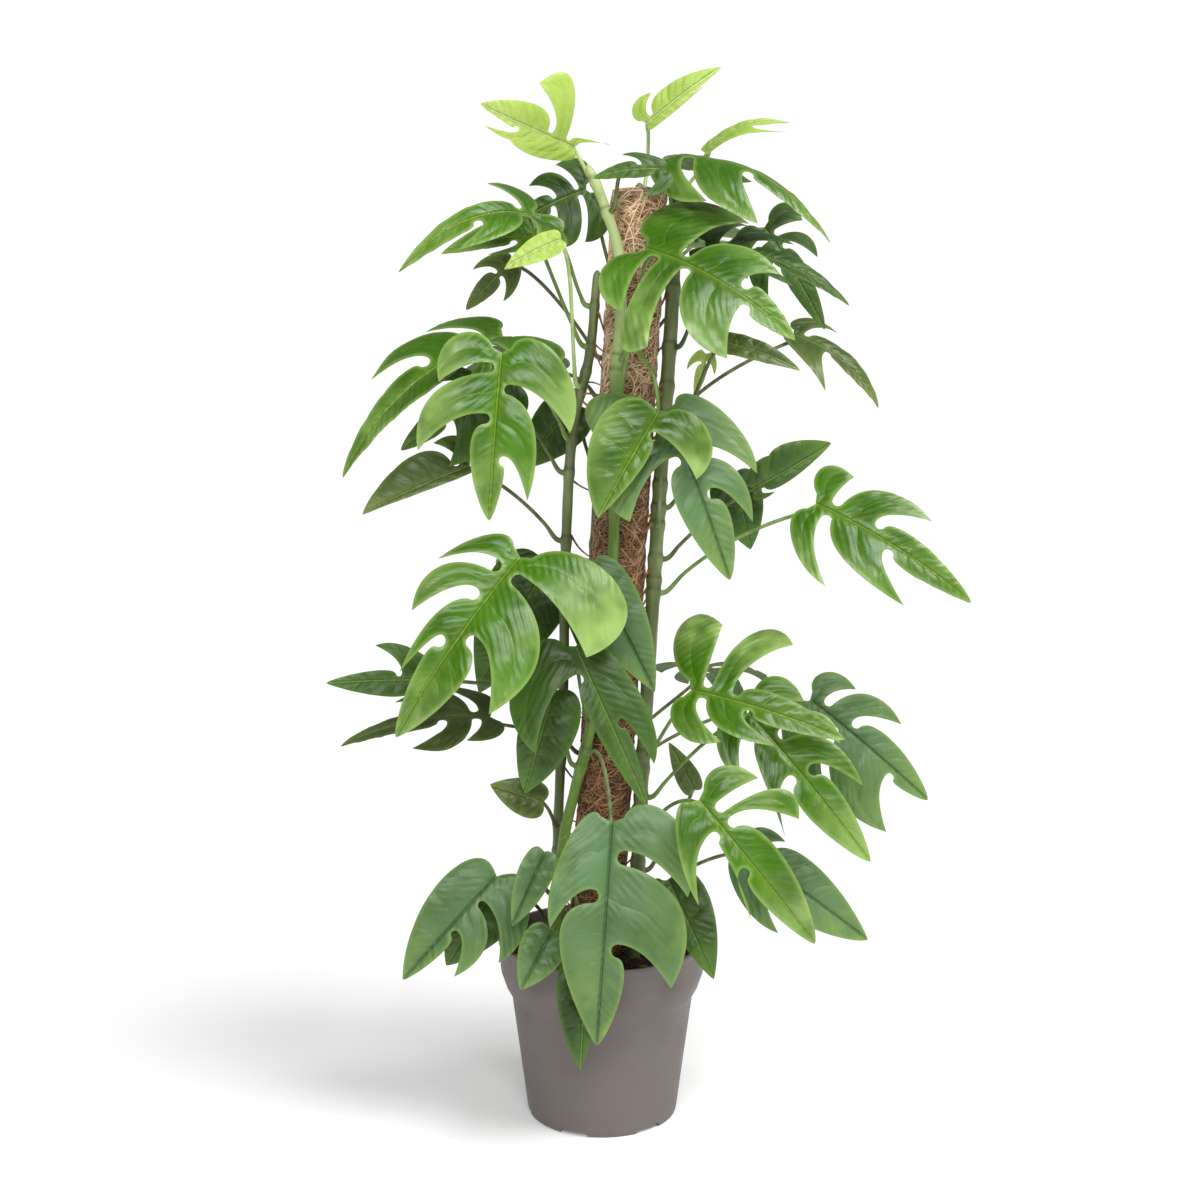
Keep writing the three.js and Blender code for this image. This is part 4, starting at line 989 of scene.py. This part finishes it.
def nearest(points, starts, ends):
    """For each flat point, the nearest line piece: its number, the share along it, distance and offset."""
    run = ends - starts
    size = np.maximum((run * run).sum(1), 1e-12)
    offset = points[:, None, :] - starts[None]
    share = np.clip((offset * run).sum(2) / size, 0, 1)
    gap = offset - share[..., None] * run
    far = np.sqrt((gap * gap).sum(2))
    best = far.argmin(1)
    rows = np.arange(len(points))
    return best, share[rows, best], far[rows, best], gap[rows, best]


def inside(points, loop):
    """Which flat points lie within a closed loop."""
    x, y = points[:, :1], points[:, 1:]
    ax, ay = loop[:, 0], loop[:, 1]
    bx, by = np.roll(ax, -1), np.roll(ay, -1)
    rise = np.where(by == ay, 1e-12, by - ay)
    crossed = ((ay > y) != (by > y)) & (x < (bx - ax) * (y - ay) / rise + ax)
    return crossed.sum(1) % 2 == 1


def rows_beside(line, offsets, step):
    """Points on a flat line and beside it, a step apart."""
    at = evenly(line, step, 2, round)
    along = np.gradient(at, axis=0)
    along /= np.maximum(np.linalg.norm(along, axis=1, keepdims=True), 1e-9)
    aside = np.stack([-along[:, 1], along[:, 0]], axis=1)
    return np.concatenate([at + aside * off for off in offsets])


def flat_blade(spec, length):
    """The triangles of a flat blade, denser along its veins, and each point's place beside veins and rim."""
    left, left_veins = side_lines(spec["left"], spec["sweep"], length)
    right, right_veins = side_lines(spec["right"], spec["sweep"], length)
    mirror = vec(1, -1)
    loop = np.concatenate([vec(0, 0)[None], left, (right[:-1] * mirror)[::-1]])
    veins = left_veins + [vein * mirror for vein in right_veins]
    midrib = np.array([(0.5, 0), (length - 1.5, 0)])
    low, high = loop.min(0), loop.max(0)
    columns, rows = np.arange(low[0], high[0], STEP_MM), np.arange(low[1], high[1], STEP_MM * 0.866)
    across, up = np.meshgrid(columns, rows)
    across[1::2] += STEP_MM / 2
    hexes = np.stack([across.ravel(), up.ravel()], axis=1)
    groups = [
        (rows_beside(midrib, (0, -0.6, 0.6, -1.5, 1.5), 2.2), 0.5, 0.9),
        *[(rows_beside(vein, (0, -0.9, 0.9), 2.2), 0.75, 0.9) for vein in veins],
        (rows_beside(loop, (1.1, -1.1), STEP_MM), 1.0, 0.9),
        (hexes, 1.6, 1.4),
    ]
    kept = loop
    for points, apart, clear in groups:
        far = nearest(points, loop, np.roll(loop, -1, axis=0))[2]
        points = points[inside(points, loop) & (far > clear)]
        points = points[np.sqrt(((points[:, None] - kept[None]) ** 2).sum(2)).min(1) > apart]
        kept = np.concatenate([kept, points])
    edges = [(i, (i + 1) % len(loop)) for i in range(len(loop))]
    spots, _, faces, *_ = delaunay_2d_cdt([Vector(point) for point in kept], edges, [], 1, 1e-4)
    flat = np.array([tuple(spot) for spot in spots])
    faces = np.array(faces)
    a, b, c = (flat[faces[:, k]] for k in range(3))
    turn = (b - a)[:, 0] * (c - a)[:, 1] - (b - a)[:, 1] * (c - a)[:, 0]
    faces[turn < 0] = faces[turn < 0][:, ::-1]
    starts = np.concatenate([vein[:-1] for vein in veins])
    ends = np.concatenate([vein[1:] for vein in veins])
    reaches = [places_along(vein) for vein in veins]
    gone = np.concatenate([reach[1:] for reach in reaches])
    whole = np.concatenate([np.full(len(reach) - 1, reach[-1]) for reach in reaches])
    best, share, far, gap = nearest(flat, starts, ends)
    run = ends[best] - starts[best]
    side = np.sign(run[:, 0] * gap[:, 1] - run[:, 1] * gap[:, 0])
    steps = np.linalg.norm(run, axis=1)
    along = gone[best] - steps * (1 - share)
    fade = np.clip(1 - along / whole[best], 0, 1)
    rim = nearest(flat, loop, np.roll(loop, -1, axis=0))[2]
    return flat, faces, {"across": far * side, "fade": fade, "rim": rim}


class Bend:
    """How a flat blade bends in space: the midrib arches, and each side rises from it and then curls down."""

    def __init__(self, spec):
        self.base = vec(*spec["base"])
        ahead = vec(*spec["tip"]) - self.base
        self.length = np.linalg.norm(ahead)
        self.ahead = ahead / self.length
        up = vec(*spec["face"])
        self.up = unit(up - self.ahead * np.dot(up, self.ahead))
        self.aside = np.cross(self.up, self.ahead)
        self.arch = spec["arch"]
        self.fold = math.radians(spec["fold"])
        self.curl = spec["curl"]

    def normal(self, p):
        slope = np.arctan(self.arch * 4 * (1 - 2 * np.atleast_1d(p)))
        return np.outer(np.cos(slope), self.up) - np.outer(np.sin(slope), self.ahead)

    def place(self, p, q):
        p, q = np.atleast_1d(p), np.atleast_1d(q)
        far = np.abs(q)
        out = (math.sin(self.fold) - np.sin(self.fold - self.curl * far)) / self.curl
        rise = (np.cos(self.fold - self.curl * far) - math.cos(self.fold)) / self.curl
        ripple = RIPPLE * far * 2 * np.sin(9 * p + 2 * np.sign(q))
        spot = self.base + np.outer(p * self.length, self.ahead)
        spot = spot + np.outer(self.length * self.arch * 4 * p * (1 - p), self.up)
        spot = spot + np.outer(self.length * out * np.sign(q), self.aside)
        return spot + self.normal(p) * (self.length * (rise + ripple))[:, None]

    def lift(self, p, q):
        ahead = self.place(p + 2e-3, q) - self.place(p - 2e-3, q)
        aside = self.place(p, q + 5e-3) - self.place(p, q - 5e-3)
        lift = np.cross(ahead, aside)
        return lift / np.linalg.norm(lift, axis=1, keepdims=True)


def stalk_route(spec, bend):
    """The leaf stalk, from inside its stem to under the midrib."""
    radius = STEMS[spec["stem"]][0]
    curve = STEM_CURVES[spec["stem"]]
    part = part_at(curve, spec["at"])
    centre, along = curve(part), tangent(curve, part)
    goal = (vec(*spec["via"][0]) if "via" in spec else bend.base) - centre
    away = unit(goal - along * np.dot(goal, along))
    start = centre + away * (radius * NODE_SWELL + GAP + SHEATH_R * 0.9)
    end = bend.place(0.07, 0)[0] - bend.normal(0.07)[0] * PETIOLE_R * 0.9
    reach = np.linalg.norm(end - start)
    leave = start + along * reach * 0.3 + away * reach * 0.22
    under = bend.normal(0)[0]
    if "via" in spec:
        route = spline([start, *spec["via"], bend.base - under * 2.4, end])
    else:
        route = bezier(start, leave, bend.base - under * reach * 0.24 - bend.ahead * reach * 0.16, end)
    root = centre + away * radius * 0.3 - along * 1.5
    return route, root


def relief(flat, marks, length, seed):
    """How high the upper and the lower side of a fine blade stand over its bend, in millimetres."""
    swell, dimple = (np.array([lumps(x / wide, y / wide, seed + shift) for x, y in flat])
                     for wide, shift in ((24, 0), (8, 3)))
    off_rib = np.abs(flat[:, 1])
    rib = np.exp(-((off_rib / RIB_WIDTH) ** 2))
    branch = np.exp(-((marks["across"] / RIB_WIDTH) ** 2)) * np.sqrt(marks["fade"])
    quilt = 1 - np.exp(-((np.minimum(np.abs(marks["across"]), off_rib) / 4) ** 2))
    edge = np.exp(-marks["rim"] / 3.2)
    pleat = np.sin(PLEAT_TURN * (flat[:, 0] - PLEAT_LEAN * off_rib + 6 * swell)) * np.clip(off_rib / 8, 0, 1)
    pleat = pleat * np.clip(0.5 + 1.8 * swell, 0, 1)
    height = SWELL * swell + DIMPLE * dimple + PLEAT * pleat + QUILT * quilt - EDGE_DROP * edge
    keel = np.sqrt(np.clip(1 - flat[:, 0] / length, 0, 1)) * RIB_KEEL * rib
    thick = mix(EDGE_THICK, BLADE, 1 - edge) + keel + VEIN_KEEL * branch
    return height - RIB_GROOVE * rib - VEIN_GROOVE * branch, height - thick


def rim_faces(faces, count):
    """The faces between the rims of a blade's two sides, whose points are numbered alike, count apart."""
    edges = dict.fromkeys((face[k], face[(k + 1) % 3]) for face in faces for k in range(3))
    return [(b, a, a + count, b + count) for a, b in edges if (b, a) not in edges]


def stalk_radius(t):
    """A leaf stalk's radius, from the sheath at its stem to the knee below the blade."""
    sheath = mix(SHEATH_R * 1.08, PETIOLE_R * 0.92, clamp(t * 4.5, 0, 1))
    return sheath + 0.45 * math.exp(-(((t - 0.93) / 0.05) ** 2))


def mark_points(mesh, flat, marks, length):
    """Gives the skin each point's place beside the veins, its distance from the rim and how far out it is."""
    p, q = flat[:, 0] / length, flat[:, 1] / length
    # How far out to the tip or a lobe end a point is, for the paler lobe-end colour of the skin, which is
    # partly a painted sheen.
    far = np.clip(np.maximum((p - 0.5) / 0.5, (np.abs(q) - 0.15) / 0.35), 0, 1)
    across = marks["across"] / np.maximum(marks["fade"], 0.25)
    count = len(flat)
    vein = np.full((len(mesh.vertices), 3), 50.0)
    trim = np.zeros((len(mesh.vertices), 3))
    for first, below in ((0, 0.0), (count, 1.0)):
        vein[first:first + count] = np.stack([flat[:, 0], across, flat[:, 1]], axis=1)
        trim[first:first + count] = np.stack([marks["rim"], np.full(count, below), far], axis=1)
    for key, values in (("vein", vein), ("trim", trim)):
        mesh.attributes.new(key, "FLOAT_VECTOR", "POINT").data.foreach_set("vector", values.ravel())


def make_leaf(number, spec):
    bend = Bend(spec)
    flat, faces, marks = flat_blade(spec, bend.length)
    count = len(flat)
    p, q = flat[:, 0] / bend.length, flat[:, 1] / bend.length
    places, lift = bend.place(p, q), bend.lift(p, q)
    shape = Shape()
    for height in relief(flat, marks, bend.length, 7.3 * number):
        for point in places + lift * height[:, None]:
            shape.point(point)
    lower = [(a + count, c + count, b + count) for a, b, c in faces]
    for face in [*faces, *lower, *rim_faces(faces, count)]:
        shape.face(face)
    route, root = stalk_route(spec, bend)
    stalk = spline([root, *[route(t) for t in np.linspace(0, 1, 9)]])
    shape.bar(stalk, steps=34, sides=12, radius_at=stalk_radius, slot=1)
    finish = spec["finish"]
    piece = shape.piece(f"blade_{number:02d}", [LEAF_SKINS[finish], STALKS[finish]], sharp=55)
    mark_points(piece.data, flat, marks, bend.length)
    dress(piece, f"leaf_{finish}", f"leaf_{number:02d}")


# ---- The whole plant ----
make_pot()
make_soil()
crumbs("soil_crumbs", crumb_finish("crumb_skin", "1a110b", "55402c"), seed=21, count=620, sizes=(0.8, 2.6))
crumbs("bark_bits", crumb_finish("bark_skin", "4e3018", "8d6840"), seed=22, count=70, sizes=(1.6, 3.2),
       lengthen=2.2)
crumbs("perlite", crumb_finish("perlite_skin", "c9c6bd", "f1efe8"), seed=23, count=34, sizes=(0.9, 1.9))
make_pole()
for name in STEMS:
    make_stem(name, *((YOUNG_BARK, "stem_pale") if name == "front" else (OLD_BARK, "stem_green")))
make_roots()
for number, spec in enumerate(LEAVES, 1):
    make_leaf(number, spec)

# The stake is out of sight inside the coir, so its CAD solid stays as it is.
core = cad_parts["pole_core"]
core.data.materials.clear()
grain = (60, 4, 0.55, (1, 1, 0.05))
wood = grained_finish("stake_wood", "a57f52", "c29a68", grain, grain, 0.0004, Roughness=0.7)
core.data.materials.append(wood)


# ---- Studio, in metres ----
def lamp(name, kind, spot, aim, **settings):
    """A light at a spot that shines towards an aim."""
    light = bpy.data.lights.new(name, kind)
    for key, value in settings.items():
        setattr(light, key, value)
    put(name, light, spot, (Vector(spot) - Vector(aim)).to_track_quat("Z", "Y").to_euler())


ground = bpy.data.meshes.new("studio_floor")
ground.from_pydata([(-6, -4, 0), (6, -4, 0), (6, 8, 0), (-6, 8, 0)], [], [(0, 1, 2, 3)])
ground.materials.append(floor_finish())
floor = put("studio_floor", ground)

# The camera sees a brighter backdrop than the one that lights the plant.
world = bpy.data.worlds.new("studio")
world.use_nodes = True
seen = add_node(world.node_tree, "ShaderNodeLightPath", {}, "Is Camera Ray")
strength = add_node(world.node_tree, "ShaderNodeMapRange", {"Value": seen, "To Min": 0.28, "To Max": 1.05})
backdrop = world.node_tree.nodes["Background"]
backdrop.inputs["Color"].default_value = (1, 1, 1, 1)
world.node_tree.links.new(strength, backdrop.inputs["Strength"])
bpy.context.scene.world = world
bpy.context.scene.view_settings.view_transform = "Standard"

lamp("key", "SUN", (1.0, -0.6, 1.7), (0, 0, 0), energy=2.5, angle=math.radians(32))
lamp("fill", "AREA", (-0.1, -1.9, 1.6), (0, 0, 0.5), shape="RECTANGLE", size=1.3, size_y=0.5, energy=26)

camera = bpy.data.cameras.new("camera")
camera.lens = 52.5
camera.sensor_width = 36
tilt = math.radians(90 - 8.3)  # 8.3 degrees below level
bpy.context.scene.camera = put("camera", camera, (-0.002, -1.545, 0.701), (tilt, 0, 0))
